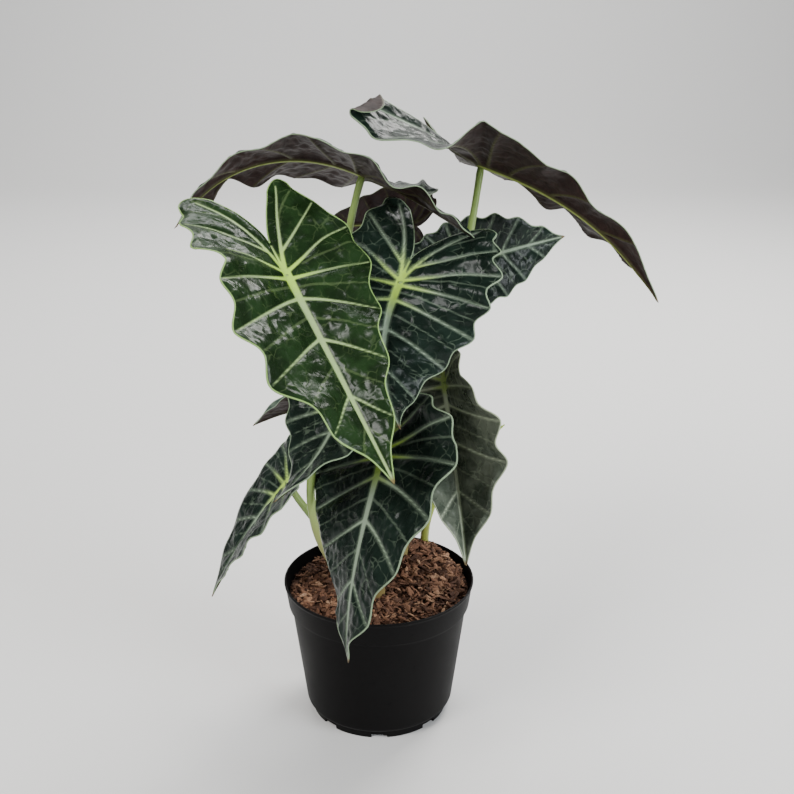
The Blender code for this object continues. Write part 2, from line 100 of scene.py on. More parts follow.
# junction in mm from the rim's centre, angles in degrees, pairs are (left half, right half)
LEAVES = {
    "bright_leaf": dict(
        USUAL,
        junction=(-47, -64, 211), length=127, heading=307, pitch=-42, bend=-2, sway=0, roll=1, twist=-24,
        fold=(16, 24), lobe_bend=2, lift=(-5, -43), width=(0.96, 1.02), belly=(0.85, 1.29),
        lobe=(0.9, 0.95), spread=(0.77, 0.96), ring="inner", foot=215, leave=22, bow=(-1, 4, -1, 7),
        finish="bright", wave=1.8, crinkle=0.55),
    "centre_leaf": dict(
        USUAL,
        junction=(13, -30, 199), length=97, heading=241, pitch=-42, bend=8, sway=56, roll=5, twist=32,
        fold=(1, 13), lobe_bend=21, lift=(6, 0), width=(1.46, 1.0), belly=(0.98, 1.0), lobe=(0.92, 1.16),
        spread=(1.04, 1.27), ring="inner", foot=270, leave=30, wave=1.8, crinkle=0.8),
    "left_arching_leaf": dict(
        USUAL,
        junction=(-8, 16, 251), length=124, heading=175, pitch=24, bend=-76, late=1.09, sway=49, roll=-14,
        twist=-23, fold=(2, -5), lobe_bend=14, lift=(-1, 45), width=(1.05, 1.05), belly=(0.92, 0.8),
        lobe=(1.08, 0.67), spread=(1.32, 1.26), ring="inner", foot=135, leave=8, wave=2.6, crinkle=0.9),
    "right_arching_leaf": dict(
        USUAL,
        junction=(61, 26, 255), length=133, heading=346, pitch=-17, bend=-36, late=1.3, sway=-26, roll=18,
        twist=25, fold=(6, 12), lobe_bend=-70, lift=(-8, -64), width=(1.02, 1.21), belly=(1.07, 0.61),
        lobe=(0.64, 0.945), spread=(0.93, 1.5), ring="inner", foot=45, leave=24, wave=2.0, crinkle=0.8,
        roll_half=1, roll_side=-1, roll_length=16.5, roll_radius=2.0, roll_turn=150, roll_out=1.0,
        roll_in=0.38),
    "right_back_leaf": dict(
        USUAL,
        junction=(57, 62, 189), length=75, heading=22, pitch=11, bend=-6, sway=8, roll=-79, twist=-13,
        fold=(11, 7), width=(1.0, 1.03), belly=(1.05, 1.08), lobe=(1.0, 1.0), foot=62, leave=19, wave=1.2,
        puff=0.8, crinkle=0.5),
    "rim_leaf": dict(
        USUAL,
        junction=(3, -62, 111), length=122, heading=251, pitch=-43, bend=-53, late=1.26, sway=-19,
        roll=-33, twist=-7, fold=(-11, 3), lobe_bend=-8, lift=(43, 0), width=(1.1, 1.22),
        belly=(1.0, 1.05), lobe=(0.59, 0.55), spread=(0.45, 1.0), foot=270, leave=25, wave=1.4,
        crinkle=0.7),
    # Painted light: this leaf's face finish is a lighter copy of the dark face, standing in for light falling
    # on it while it sits in shade.
    "right_hanging_leaf": dict(
        USUAL,
        junction=(41, 14, 126), length=113, heading=287, pitch=-68, bend=17, sway=-11, roll=-40, twist=67,
        fold=(59, 29), width=(1.2, 1.13), belly=(1.29, 1.19), lobe=(0.5, 0.5), foot=38, leave=15,
        finish="painted_lit", wave=1.4, puff=0.9, crinkle=0.7),
    "left_low_leaf": dict(
        USUAL,
        junction=(-55, -14, 72), length=88, heading=192, pitch=-47, bend=-18, sway=-1, roll=-3, twist=-3,
        fold=(4, 14), lobe_bend=-35, lift=(7, 0), width=(1.0, 1.0), belly=(1.04, 1.04), lobe=(0.56, 0.6),
        spread=(1.14, 1.0), foot=182, leave=20, wave=1.0, puff=0.8, crinkle=0.5),
    "inner_small_leaf": dict(
        USUAL,
        junction=(-17, -52, 142), length=78, heading=250, pitch=-45, bend=23, sway=-30, roll=5, twist=-43,
        fold=(0, 0), width=(1.04, 1.11), belly=(1.1, 1.13), lobe=(0.6, 0.6), foot=226, leave=48,
        bow=(-3, 0, -33, 0), wave=1.0, puff=0.8, crinkle=0.6),
    "left_back_small_leaf": dict(
        USUAL,
        junction=(-21, 71, 90), length=73, heading=165, pitch=-2, bend=-30, sway=-2, roll=9, twist=22,
        fold=(58, 28), width=(1.04, 1.0), belly=(1.09, 0.95), lobe=(1.0, 1.0), foot=130, leave=26,
        finish="grey", wave=1.2, puff=0.8, crinkle=0.5),
    "back_leaf": dict(
        USUAL,
        junction=(18, 82, 209), length=68, heading=213, pitch=10, bend=-13, sway=4, roll=-77, twist=-6,
        fold=(10, 5), width=(1.0, 1.03), belly=(1.01, 1.06), lobe=(0.6, 0.6), foot=94, leave=24, wave=1.2,
        puff=0.8, crinkle=0.5),
}


# --- Maker's settings ----------------------------------------------------------------------------

class AlocasiaPot(bpy.types.PropertyGroup):
    """Sizes and colour of the nursery pot."""
    wall: FloatProperty(
        name="Wall", description="Thickness of the moulded wall", default=1.2 * MM, unit="LENGTH")
    collar_height: FloatProperty(
        name="Collar", description="Height of the stacking collar", default=16 * MM, unit="LENGTH")
    steps: IntProperty(name="Steps", description="Steps round the pot", default=160, min=32)
    colour: FloatVectorProperty(
        name="Colour", description="Moulded plastic", default=(0.0019, 0.0019, 0.0021), subtype="COLOR")


class AlocasiaMix(bpy.types.PropertyGroup):
    """The bark mix."""
    chips: IntProperty(name="Chips", description="Loose chips on the surface", default=2600, min=0)
    chip_length: FloatProperty(
        name="Chip", description="Length of a middling chip", default=4.6 * MM, unit="LENGTH")
    colour: FloatVectorProperty(
        name="Colour", description="Middling bark", default=(0.125, 0.056, 0.030), subtype="COLOR")


class AlocasiaLeaves(bpy.types.PropertyGroup):
    """Blades, stems and shoot."""
    thickness: FloatProperty(
        name="Thickness", description="Thickness of a blade", default=0.55 * MM, unit="LENGTH")
    grain: FloatProperty(
        name="Mesh step", description="Distance between points on a blade", default=1.05 * MM, unit="LENGTH")
    relief: FloatProperty(
        name="Relief", description="Height of the swelling between veins", default=0.75 * MM, unit="LENGTH")
    stem_foot: FloatProperty(
        name="Stem foot", description="Radius of a stem at the mix", default=3.1 * MM, unit="LENGTH")
    stem_top: FloatProperty(
        name="Stem top", description="Radius of a stem at its blade", default=2.0 * MM, unit="LENGTH")
    bright: FloatVectorProperty(
        name="Bright face", description="Young glossy face",
        default=(0.0056, 0.0142, 0.0040), subtype="COLOR")
    dark: FloatVectorProperty(
        name="Dark face", description="Grown face", default=(0.0048, 0.0095, 0.0068), subtype="COLOR")
    back: FloatVectorProperty(
        name="Back", description="Underside", default=(0.019, 0.0098, 0.0082), subtype="COLOR")
    stem: FloatVectorProperty(
        name="Stem", description="Stem green", default=(0.23, 0.34, 0.085), subtype="COLOR")


class AlocasiaStage(bpy.types.PropertyGroup):
    """Floor, lights and camera."""
    floor: FloatVectorProperty(
        name="Floor", description="Plain floor", default=(0.60, 0.595, 0.585), subtype="COLOR")
    key: FloatProperty(name="Key light", description="Power of the key light in watts", default=34.0)
    fill: FloatProperty(name="Fill light", description="Power of the fill light in watts", default=30.0)
    wall: FloatProperty(
        name="Wall light", description="Power of the backdrop light in watts", default=90.0)
    lens: FloatProperty(name="Lens", description="Focal length in mm", default=50.0)


def settings(name):
    """One settings group of the scene."""
    return getattr(bpy.context.scene, name)


# --- Shader writing ------------------------------------------------------------------------------

class Wire:
    """A number socket that takes part in Python arithmetic."""

    def __init__(self, finish, socket):
        self.finish = finish
        self.socket = socket

    def math(self, operation, other=None, third=None, first=None):
        values = [self if first is None else first, other, third]
        inputs = {index: value for index, value in enumerate(values) if value is not None}
        return self.finish.node("ShaderNodeMath", {"operation": operation}, inputs).wire(0)

    def __add__(self, other):
        return self.math("ADD", other)

    __radd__ = __add__

    def __sub__(self, other):
        return self.math("SUBTRACT", other)

    def __rsub__(self, other):
        return self.math("SUBTRACT", self, first=other)

    def __mul__(self, other):
        return self.math("MULTIPLY", other)

    __rmul__ = __mul__

    def fade(self, start, end):
        """1 below start, falling smoothly to 0 at end."""
        made = self.finish.node(
            "ShaderNodeMapRange", {"interpolation_type": "SMOOTHSTEP"},
            {"Value": self, "From Min": start, "From Max": end, "To Min": 1.0, "To Max": 0.0})
        return made.wire("Result")


class Node:
    """A node whose outputs become wires."""

    def __init__(self, finish, node):
        self.finish = finish
        self.node = node

    def wire(self, name):
        return Wire(self.finish, self.node.outputs[name])


class Finish:
    """Writes one material."""

    def __init__(self, name):
        self.material = bpy.data.materials.new(name)
        self.material.use_nodes = True
        self.tree = self.material.node_tree
        self.shader = self.tree.nodes["Principled BSDF"]

    def node(self, kind, choices=None, inputs=None):
        """Add a node, set its choices, then its sockets."""
        made = self.tree.nodes.new(kind)
        for key, value in (choices or {}).items():
            setattr(made, key, value)
        for key, value in (inputs or {}).items():
            self.feed(made.inputs[key], value)
        return Node(self, made)

    def feed(self, socket, value):
        """Link a wire to a socket or set its value."""
        if isinstance(value, Wire):
            self.tree.links.new(value.socket, socket)
        elif isinstance(value, (tuple, list)) and len(value) == 3 and socket.type == "RGBA":
            socket.default_value = (*value, 1.0)
        else:
            socket.default_value = value

    def field(self, name):
        """A number kept on the mesh."""
        kind = {"attribute_name": name, "attribute_type": "GEOMETRY"}
        return self.node("ShaderNodeAttribute", kind).wire("Fac")

    def place(self):
        """Position on the resting object."""
        return self.node("ShaderNodeTexCoord").wire("Object")

    def flat_place(self):
        """Position on the flattened blade in mm."""
        parts = {"X": self.field("flat_x"), "Y": self.field("flat_y")}
        return self.node("ShaderNodeCombineXYZ", {}, parts).wire("Vector")

    def vector_math(self, operation, first, second):
        """One step of arithmetic on vectors."""
        made = self.node("ShaderNodeVectorMath", {"operation": operation}, {0: first, 1: second})
        return made.wire("Vector")

    def warped(self, vector, scale, reach):
        """Push a position about by soft noise."""
        push = self.node(
            "ShaderNodeTexNoise", {}, {"Vector": vector, "Scale": scale, "Detail": 2.0}).wire("Color")
        centred = self.vector_math("SUBTRACT", push, (0.5, 0.5, 0.5))
        return self.vector_math("ADD", vector, self.vector_math("MULTIPLY", centred, (reach, reach, reach)))

    def noise(self, scale, detail=2.0, roughness=0.5, vector=None):
        """Soft noise, 0 to 1, scale in features per metre."""
        made = self.node(
            "ShaderNodeTexNoise", {},
            {"Vector": vector or self.place(), "Scale": scale, "Detail": detail, "Roughness": roughness})
        return made.wire("Fac")

    def cells(self, scale, feature="F1", vector=None):
        """Distance field of scattered cells."""
        made = self.node(
            "ShaderNodeTexVoronoi", {"feature": feature}, {"Vector": vector or self.place(), "Scale": scale})
        return made.wire("Distance")

    def mix(self, share, first, second):
        """Blend two colours."""
        made = self.tree.nodes.new("ShaderNodeMix")
        made.data_type = "RGBA"
        self.feed(made.inputs["Factor"], share)
        for letter, colour in (("A", first), ("B", second)):
            sockets = [socket for socket in made.inputs if socket.name == letter and socket.type == "RGBA"]
            self.feed(sockets[0], colour)
        return Wire(self, [socket for socket in made.outputs if socket.type == "RGBA"][0])

    def ramp(self, share, stops):
        """Colour ramp through (position, colour) stops."""
        made = self.tree.nodes.new("ShaderNodeValToRGB")
        elements = made.color_ramp.elements
        while len(elements) < len(stops):
            elements.new(1.0)
        for element, (position, colour) in zip(elements, stops):
            element.position = position
            element.color = (*colour, 1.0)
        self.feed(made.inputs["Fac"], share)
        return Wire(self, made.outputs["Color"])

    def bump(self, height, distance, strength=1.0):
        """Fine relief fed to the shader's normal."""
        made = self.node("ShaderNodeBump", {}, {"Height": height, "Distance": distance, "Strength": strength})
        self.feed(self.shader.inputs["Normal"], made.wire("Normal"))

    def surface(self, **inputs):
        """Set or link the shader's sockets by name, with _ for a space."""
        for key, value in inputs.items():
            self.feed(self.shader.inputs[key.replace("_", " ")], value)
        return self.material


# --- Finishes ------------------------------------------------------------------------------------

def moulded_plastic(colour):
    """Black moulded plastic with fine grain, faint dust and handling marks."""
    made = Finish("moulded_black_plastic")
    grain = made.noise(2600.0, 3.0, 0.6)
    cloud = made.noise(38.0, 4.0, 0.6)
    dust = made.cells(430.0).fade(0.03, 0.10) * made.noise(60.0, 2.0).fade(0.62, 0.50)
    scuff = made.noise(210.0, 5.0, 0.7).fade(0.42, 0.30)
    worn = made.mix(cloud * 0.5, colour, tuple(value * 1.7 + 0.001 for value in colour))
    dusty = made.mix(dust * 0.22 + scuff * 0.02, worn, (0.10, 0.085, 0.075))
    made.bump(grain + scuff * 0.4, 0.00005, 0.5)
    return made.surface(
        Base_Color=dusty, Roughness=cloud * 0.14 + grain * 0.06 + 0.36 + dust * 0.2, Specular_IOR_Level=0.05)


def loose_bark(colour):
    """Reddish brown bark and coir, each chip with its own tone."""
    made = Finish("loose_bark")
    tone = made.field("tone")
    grain = made.noise(900.0, 4.0, 0.65)
    fibre = made.noise(2400.0, 3.0, 0.6)
    pick = tone * 0.85 + grain * 0.35 - 0.1
    body = made.ramp(pick, (
        (0.0, (0.030, 0.011, 0.006)),
        (0.30, tuple(value * 0.52 for value in colour)),
        (0.62, colour),
        (0.85, (0.20, 0.105, 0.058)),
        (1.0, (0.33, 0.21, 0.13))))
    made.bump(grain * 0.7 + fibre * 0.5, 0.0004, 0.9)
    return made.surface(Base_Color=body, Roughness=fibre * 0.15 + 0.78, Specular_IOR_Level=0.25)


def deep_mix(colour):
    """The shaded fines under the loose chips."""
    made = Finish("deep_bark_fines")
    grain = made.noise(520.0, 5.0, 0.7)
    crumbs = made.cells(620.0)
    body = made.ramp(grain * 0.7 + crumbs * 0.35, (
        (0.2, (0.010, 0.004, 0.003)),
        (0.6, tuple(value * 0.35 for value in colour)),
        (0.9, tuple(value * 0.8 for value in colour))))
    made.bump(grain + crumbs, 0.0009, 1.0)
    return made.surface(Base_Color=body, Roughness=grain * 0.1 + 0.85, Specular_IOR_Level=0.2)


def blade_face(name, body, swell, vein, heart, edge, look):
    """Upper face: swelling lamina, feathered light-coloured veins, a fine net and a light-coloured margin."""
    made = Finish(name)
    flat = made.flat_place()
    vein_gap = made.field("vein_gap")
    minor_gap = made.field("minor_gap")
    rim_gap = made.field("rim_gap")
    near = made.field("heart_gap")
    tip = made.field("tip_gap")
    wandered = made.warped(flat, 0.11, 7.0)
    cell = made.cells(0.125, "DISTANCE_TO_EDGE", wandered)
    fuzz = made.noise(1.3, 3.0, 0.7, flat)
    cloud = made.noise(0.06, 3.0, 0.55, flat)
    broken = made.noise(0.11, 2.0, 0.5, flat)
    net = (cell + fuzz * 0.02).fade(0.018, 0.055) * broken.fade(0.62, 0.42)
    core = (vein_gap + (fuzz - 0.5) * 0.5).fade(-0.35, 0.30)
    feather = (vein_gap + (fuzz - 0.5) * look["fray"]).fade(0.0, look["feather"])
    small = (minor_gap + (fuzz - 0.5) * 0.5).fade(0.10, 0.75)
    lamina = made.mix(cloud.fade(0.62, 0.38), body, swell)
    lamina = made.mix(net * look["net"], lamina, vein)
    lamina = made.mix(small * look["minor"], lamina, vein)
    washed = made.mix(feather * look["wash"], lamina, vein)
    lined = made.mix(core * 0.9, washed, tuple(value * 1.15 for value in vein))
    warm = made.mix(near.fade(3.0, look["heart"]) * (core * 0.9 + feather * 0.3), lined, heart)
    margin = (rim_gap + (fuzz - 0.5) * 0.3).fade(0.35, 0.80)
    edged = made.mix(margin * look["edge"], warm, edge)
    finished = made.mix(tip.fade(1.5, 5.0) * 0.9, edged, (0.10, 0.055, 0.02))
    pebble = made.noise(0.28, 2.0, 0.45, flat)
    made.bump(0.0 - cell.fade(0.22, 0.0) * 0.6 + pebble * 0.8 + fuzz * 0.012, 0.0008, look["bump"])
    return made.surface(
        Base_Color=finished, Roughness=look["gloss"] + cloud * 0.08 + feather * look["dull"] + pebble * 0.06,
        Specular_IOR_Level=look["specular"])


def blade_back(name, body, blotch, rib):
    """Underside: dark blotched skin with green ribs and a net of darker veins."""
    made = Finish(name)
    flat = made.flat_place()
    vein_gap = made.field("vein_gap")
    rank = made.field("midrib_gap")
    rim_gap = made.field("rim_gap")
    wandered = made.warped(flat, 0.11, 7.0)
    cell = made.cells(0.125, "DISTANCE_TO_EDGE", wandered)
    cloud = made.noise(0.13, 4.0, 0.6, flat)
    fleck = made.noise(0.9, 3.0, 0.6, flat)
    skin = made.mix(cloud.fade(0.60, 0.42), body, blotch)
    skin = made.mix(fleck.fade(0.55, 0.35) * 0.35, skin, tuple(value * 1.6 for value in body))
    skin = made.mix(cell.fade(0.02, 0.06) * 0.40, skin, tuple(value * 0.45 for value in body))
    between = tuple(0.6 * a + 0.4 * b for a, b in zip(body, rib))
    veined = made.mix(vein_gap.fade(-0.1, 0.8) * 0.30, skin, between)
    ribbed = made.mix(rank.fade(-0.9, -0.2), veined, rib)
    edged = made.mix(rim_gap.fade(0.3, 0.8) * 0.35, ribbed, (0.10, 0.11, 0.06))
    made.bump(0.0 - cell.fade(0.20, 0.0) * 0.8 + fleck * 0.3, 0.0005, 0.4)
    return made.surface(
        Base_Color=edged, Roughness=cloud * 0.12 + fleck * 0.08 + 0.42, Specular_IOR_Level=0.14)


def stem_skin(name, colour, blush):
    """Smooth green stem, faintly streaked along its length and browner at its foot."""
    made = Finish(name)
    down = made.field("down")
    streak = made.noise(900.0, 2.0, 0.5)
    cloud = made.noise(60.0, 3.0, 0.6)
    green = made.mix(cloud * 0.6 + streak * 0.25, colour, tuple(value * 0.50 for value in colour))
    footed = made.mix(down.fade(0.06, 0.60) * (0.55 + cloud * 0.5), green, blush)
    made.bump(streak, 0.00012, 0.4)
    return made.surface(Base_Color=footed, Roughness=streak * 0.1 + 0.36, Specular_IOR_Level=0.45)


# --- Mesh helpers --------------------------------------------------------------------------------

def link_new(name, data):
    """Put a new object in the scene."""
    made = bpy.data.objects.new(name, data)
    bpy.context.scene.collection.objects.link(made)
    return made


def plain_mesh(name, vertices, edges, faces):
    """Put a new mesh in the scene."""
    data = bpy.data.meshes.new(name)
    data.from_pydata(vertices, edges, faces)
    return link_new(name, data)


def add_piece(name, vertices, faces, materials, fields=None, indices=None, smooth=True):
    """Make a mesh object that rides on the plant."""
    data = bpy.data.meshes.new(name)
    data.from_pydata([tuple(map(float, vertex)) for vertex in vertices], [], faces)
    for material in materials:
        data.materials.append(material)
    if indices is not None:
        data.polygons.foreach_set("material_index", indices)
    data.polygons.foreach_set("use_smooth", [smooth] * len(data.polygons))
    for key, values in (fields or {}).items():
        layer = data.attributes.new(key, "FLOAT", "POINT")
        layer.data.foreach_set("value", np.asarray(values, dtype=np.float32))
    data.update()
    made = bpy.data.objects.new(name, data)
    bpy.context.scene.collection.objects.link(made)
    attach(made, "root")
    return made


def curve_through(points, per_span):
    """Smooth curve through points, per_span steps between neighbours."""
    points = np.array(points, dtype=float)
    padded = np.vstack([2 * points[0] - points[1], points, 2 * points[-1] - points[-2]])
    out = []
    for index in range(1, len(padded) - 2):
        a, b, c, d = padded[index - 1:index + 3]
        for step in range(per_span):
            t = step / per_span
            square = (2 * a - 5 * b + 4 * c - d) * t * t
            cube = (3 * b - a - 3 * c + d) * t ** 3
            out.append(0.5 * (2 * b + (c - a) * t + square + cube))
    out.append(points[-1])
    return np.array(out)


def gap_to_line(points, line):
    """Distance, length along and side of each point against a polyline."""
    starts = line[:-1]
    steps = line[1:] - starts
    spans = np.hypot(steps[:, 0], steps[:, 1])
    before = np.concatenate([[0.0], np.cumsum(spans)[:-1]])
    offset = points[:, None, :] - starts[None]
    share = np.clip((offset * steps[None]).sum(2) / np.maximum(spans ** 2, 1e-12), 0.0, 1.0)
    nearest = offset - share[..., None] * steps[None]
    gaps = np.hypot(nearest[..., 0], nearest[..., 1])
    pick = np.argmin(gaps, axis=1)
    rows = np.arange(len(points))
    along = before[pick] + share[rows, pick] * spans[pick]
    return gaps[rows, pick], along, float(spans.sum())


# --- Leaf shape ----------------------------------------------------------------------------------

def junction_of(leaf):
    """Where the stem meets the blade."""
    x, y, z = leaf["junction"]
    return np.array((x * MM, y * MM, POT_HEIGHT + z * MM))


def leaf_frames(leaf, along):
    """Direction, right side and upper normal of the spine at many places."""
    ahead = np.clip(along, 1e-9, 1.0)
    back = np.clip(-along / 0.5, 0.0, 1.4)
    rise = np.radians(leaf["pitch"] + leaf["bend"] * ahead ** leaf["late"] + leaf["lobe_bend"] * back)
    turn = np.radians(leaf["heading"] + leaf["sway"] * ahead)
    roll = np.radians(leaf["roll"] + leaf["twist"] * ahead)
    zero = np.zeros_like(turn)
    tangent = np.stack([np.cos(rise) * np.cos(turn), np.cos(rise) * np.sin(turn), np.sin(rise)], -1)
    side = np.stack([np.sin(turn), -np.cos(turn), zero], -1)
    upper = np.cross(side, tangent)
    right = np.cos(roll)[..., None] * side + np.sin(roll)[..., None] * upper
    normal = np.cos(roll)[..., None] * upper - np.sin(roll)[..., None] * side
    return tangent, right, normal


def proportion(leaf, flat, half):
    """Fit template points to one leaf's own proportions."""
    out = flat[..., 0]
    along = flat[..., 1]
    back = np.clip(-along / 0.5, 0.0, 1.0)
    forward = np.clip(along / 0.95, 0.0, 1.0)
    out = out * (1 + (leaf["belly"][half] - 1) * np.sin(np.pi * forward))
    out = out * leaf["width"][half] * (1 + (leaf["spread"][half] - 1) * back ** 1.5)
    along = np.where(along < 0, along * (1 + (leaf["lobe"][half] - 1) * np.sqrt(back)), along)
    return np.stack([out, along], -1)


def in_space(leaf, flat, half):
    """Place flat points of a half blade in space."""
    grid = np.linspace(-0.85, 1.1, 240)
    tangent, _, _ = leaf_frames(leaf, grid)
    middle = 0.5 * (tangent[1:] + tangent[:-1]) * (grid[1] - grid[0])
    spine = np.concatenate([np.zeros((1, 3)), np.cumsum(middle, 0)])
    zero = np.array([np.interp(0.0, grid, spine[:, axis]) for axis in range(3)])
    out = flat[..., 0]
    along = flat[..., 1]
    centre = np.stack([np.interp(along, grid, spine[:, axis]) for axis in range(3)], -1) - zero
    _, right, normal = leaf_frames(leaf, along)
    back = np.clip(-along / 0.5, 0.0, 1.4)
    tilt = np.radians(leaf["fold"][half] + leaf["lift"][half] * back)
    sign = 1.0 if half == 1 else -1.0
    size = leaf["length"] * MM
    place = centre + (sign * out * np.cos(tilt))[..., None] * right + (out * np.sin(tilt))[..., None] * normal
    return junction_of(leaf) + place * size


def half_template(rows_per_span, columns):
    """Grid of flat points: rows from lobe tip to leaf tip, columns from inner edge to margin."""
    control = [TEETH[0]]
    for index in range(len(TEETH) - 1):
        start = np.array(TEETH[index])
        step = np.array(TEETH[index + 1]) - start
        inward = np.array((-step[1], step[0])) / math.hypot(*step)
        control.append(tuple(start + step * 0.5 + inward * BAYS[index]))
        control.append(TEETH[index + 1])
    margin = curve_through(control, rows_per_span // 2)
    inner = curve_through(INNER, rows_per_span)
    inner[:, 0] = np.clip(inner[:, 0], 0.0, None)
    inner[2 * rows_per_span:, 0] = 0.0
    share = np.linspace(0, 1, columns + 1)[None, :, None]
    place = np.arange(len(inner))[:, None, None] / rows_per_span
    cap = np.array(LOBE_CAP) * np.sin(np.pi * share) ** 0.8 * np.clip(1 - place, 0, 1) ** 2
    return inner[:, None, :] * (1 - share) + margin[:, None, :] * share + cap


def vein_fields(leaf, flat_mm, half):
    """Gaps in mm from each point to the main veins, the minor veins and the midrib of its half."""
    size = leaf["length"]
    scale = size / 125.0
    gaps = {"main": np.full(len(flat_mm), 99.0), "minor": np.full(len(flat_mm), 99.0)}
    midrib = None
    for kind, veins in (("main", MAIN_VEINS), ("minor", MINOR_VEINS)):
        for points, wide, narrow in veins:
            line = proportion(leaf, curve_through(points, 6), half) * size
            gap, along, whole = gap_to_line(flat_mm, line)
            width = (wide + (narrow - wide) * np.clip(along / whole, 0, 1) ** 0.7) * scale
            gaps[kind] = np.minimum(gaps[kind], gap - width)
            if midrib is None:
                midrib = gap - width
    return gaps["main"], gaps["minor"], midrib


def lumps(flat_mm, seed, wavelengths, count=9):
    """Smooth seeded unevenness, about -1 to 1, over flat points in mm."""
    chance = random.Random(seed)
    total = np.zeros(len(flat_mm))
    for _ in range(count):
        turn = chance.uniform(0, 2 * math.pi)
        wave = 2 * math.pi / chance.uniform(*wavelengths)
        across = flat_mm[:, 0] * math.cos(turn) + flat_mm[:, 1] * math.sin(turn)
        total += np.sin(wave * across + chance.uniform(0, 6.3))
    return total / math.sqrt(count)


def roll_end(leaf, base, half):
    """Roll the end of one lobe over, as a curled leaf edge does."""
    if leaf.get("roll_half") != half:
        return base
    lobe = base[:len(base) // 5]
    outward = lobe[0].mean(0) - lobe[-1].mean(0)
    inward = lobe[0, 0] - lobe[0, -1]
    normal = np.cross(outward, inward)
    normal = normal / np.linalg.norm(normal) * leaf["roll_side"]
    way = outward / np.linalg.norm(outward) * leaf["roll_out"]
    way = way + inward / np.linalg.norm(inward) * leaf["roll_in"]
    way = way - normal * float(np.dot(way, normal))
    way = way / np.linalg.norm(way)
    start = float((lobe @ way).max()) - leaf["roll_length"] * MM
    radius = leaf["roll_radius"] * MM
    past = np.maximum(base @ way - start, 0.0)
    past[len(base) // 3:] = 0.0
    turn = np.minimum(past / radius, math.radians(leaf["roll_turn"]))
    flat = past - turn * radius
    along = radius * np.sin(turn) + flat * np.cos(turn) - past
    rise = radius * (1 - np.cos(turn)) + flat * np.sin(turn)
    return base + along[..., None] * way + rise[..., None] * normal


def grid_normals(points, sign):
    """Upper normals of a grid of points."""
    down = np.gradient(points, axis=0)
    across = np.gradient(points, axis=1)
    normal = np.cross(across, down) * sign
    length = np.linalg.norm(normal, axis=2, keepdims=True)
    flat = length[..., 0] < 1e-12
    normal = normal / np.maximum(length, 1e-12)
    for row in (0, -1):
        normal[row] = normal[1 if row == 0 else -2]
    normal[flat] = normal[len(normal) // 2, 0]
    return normal


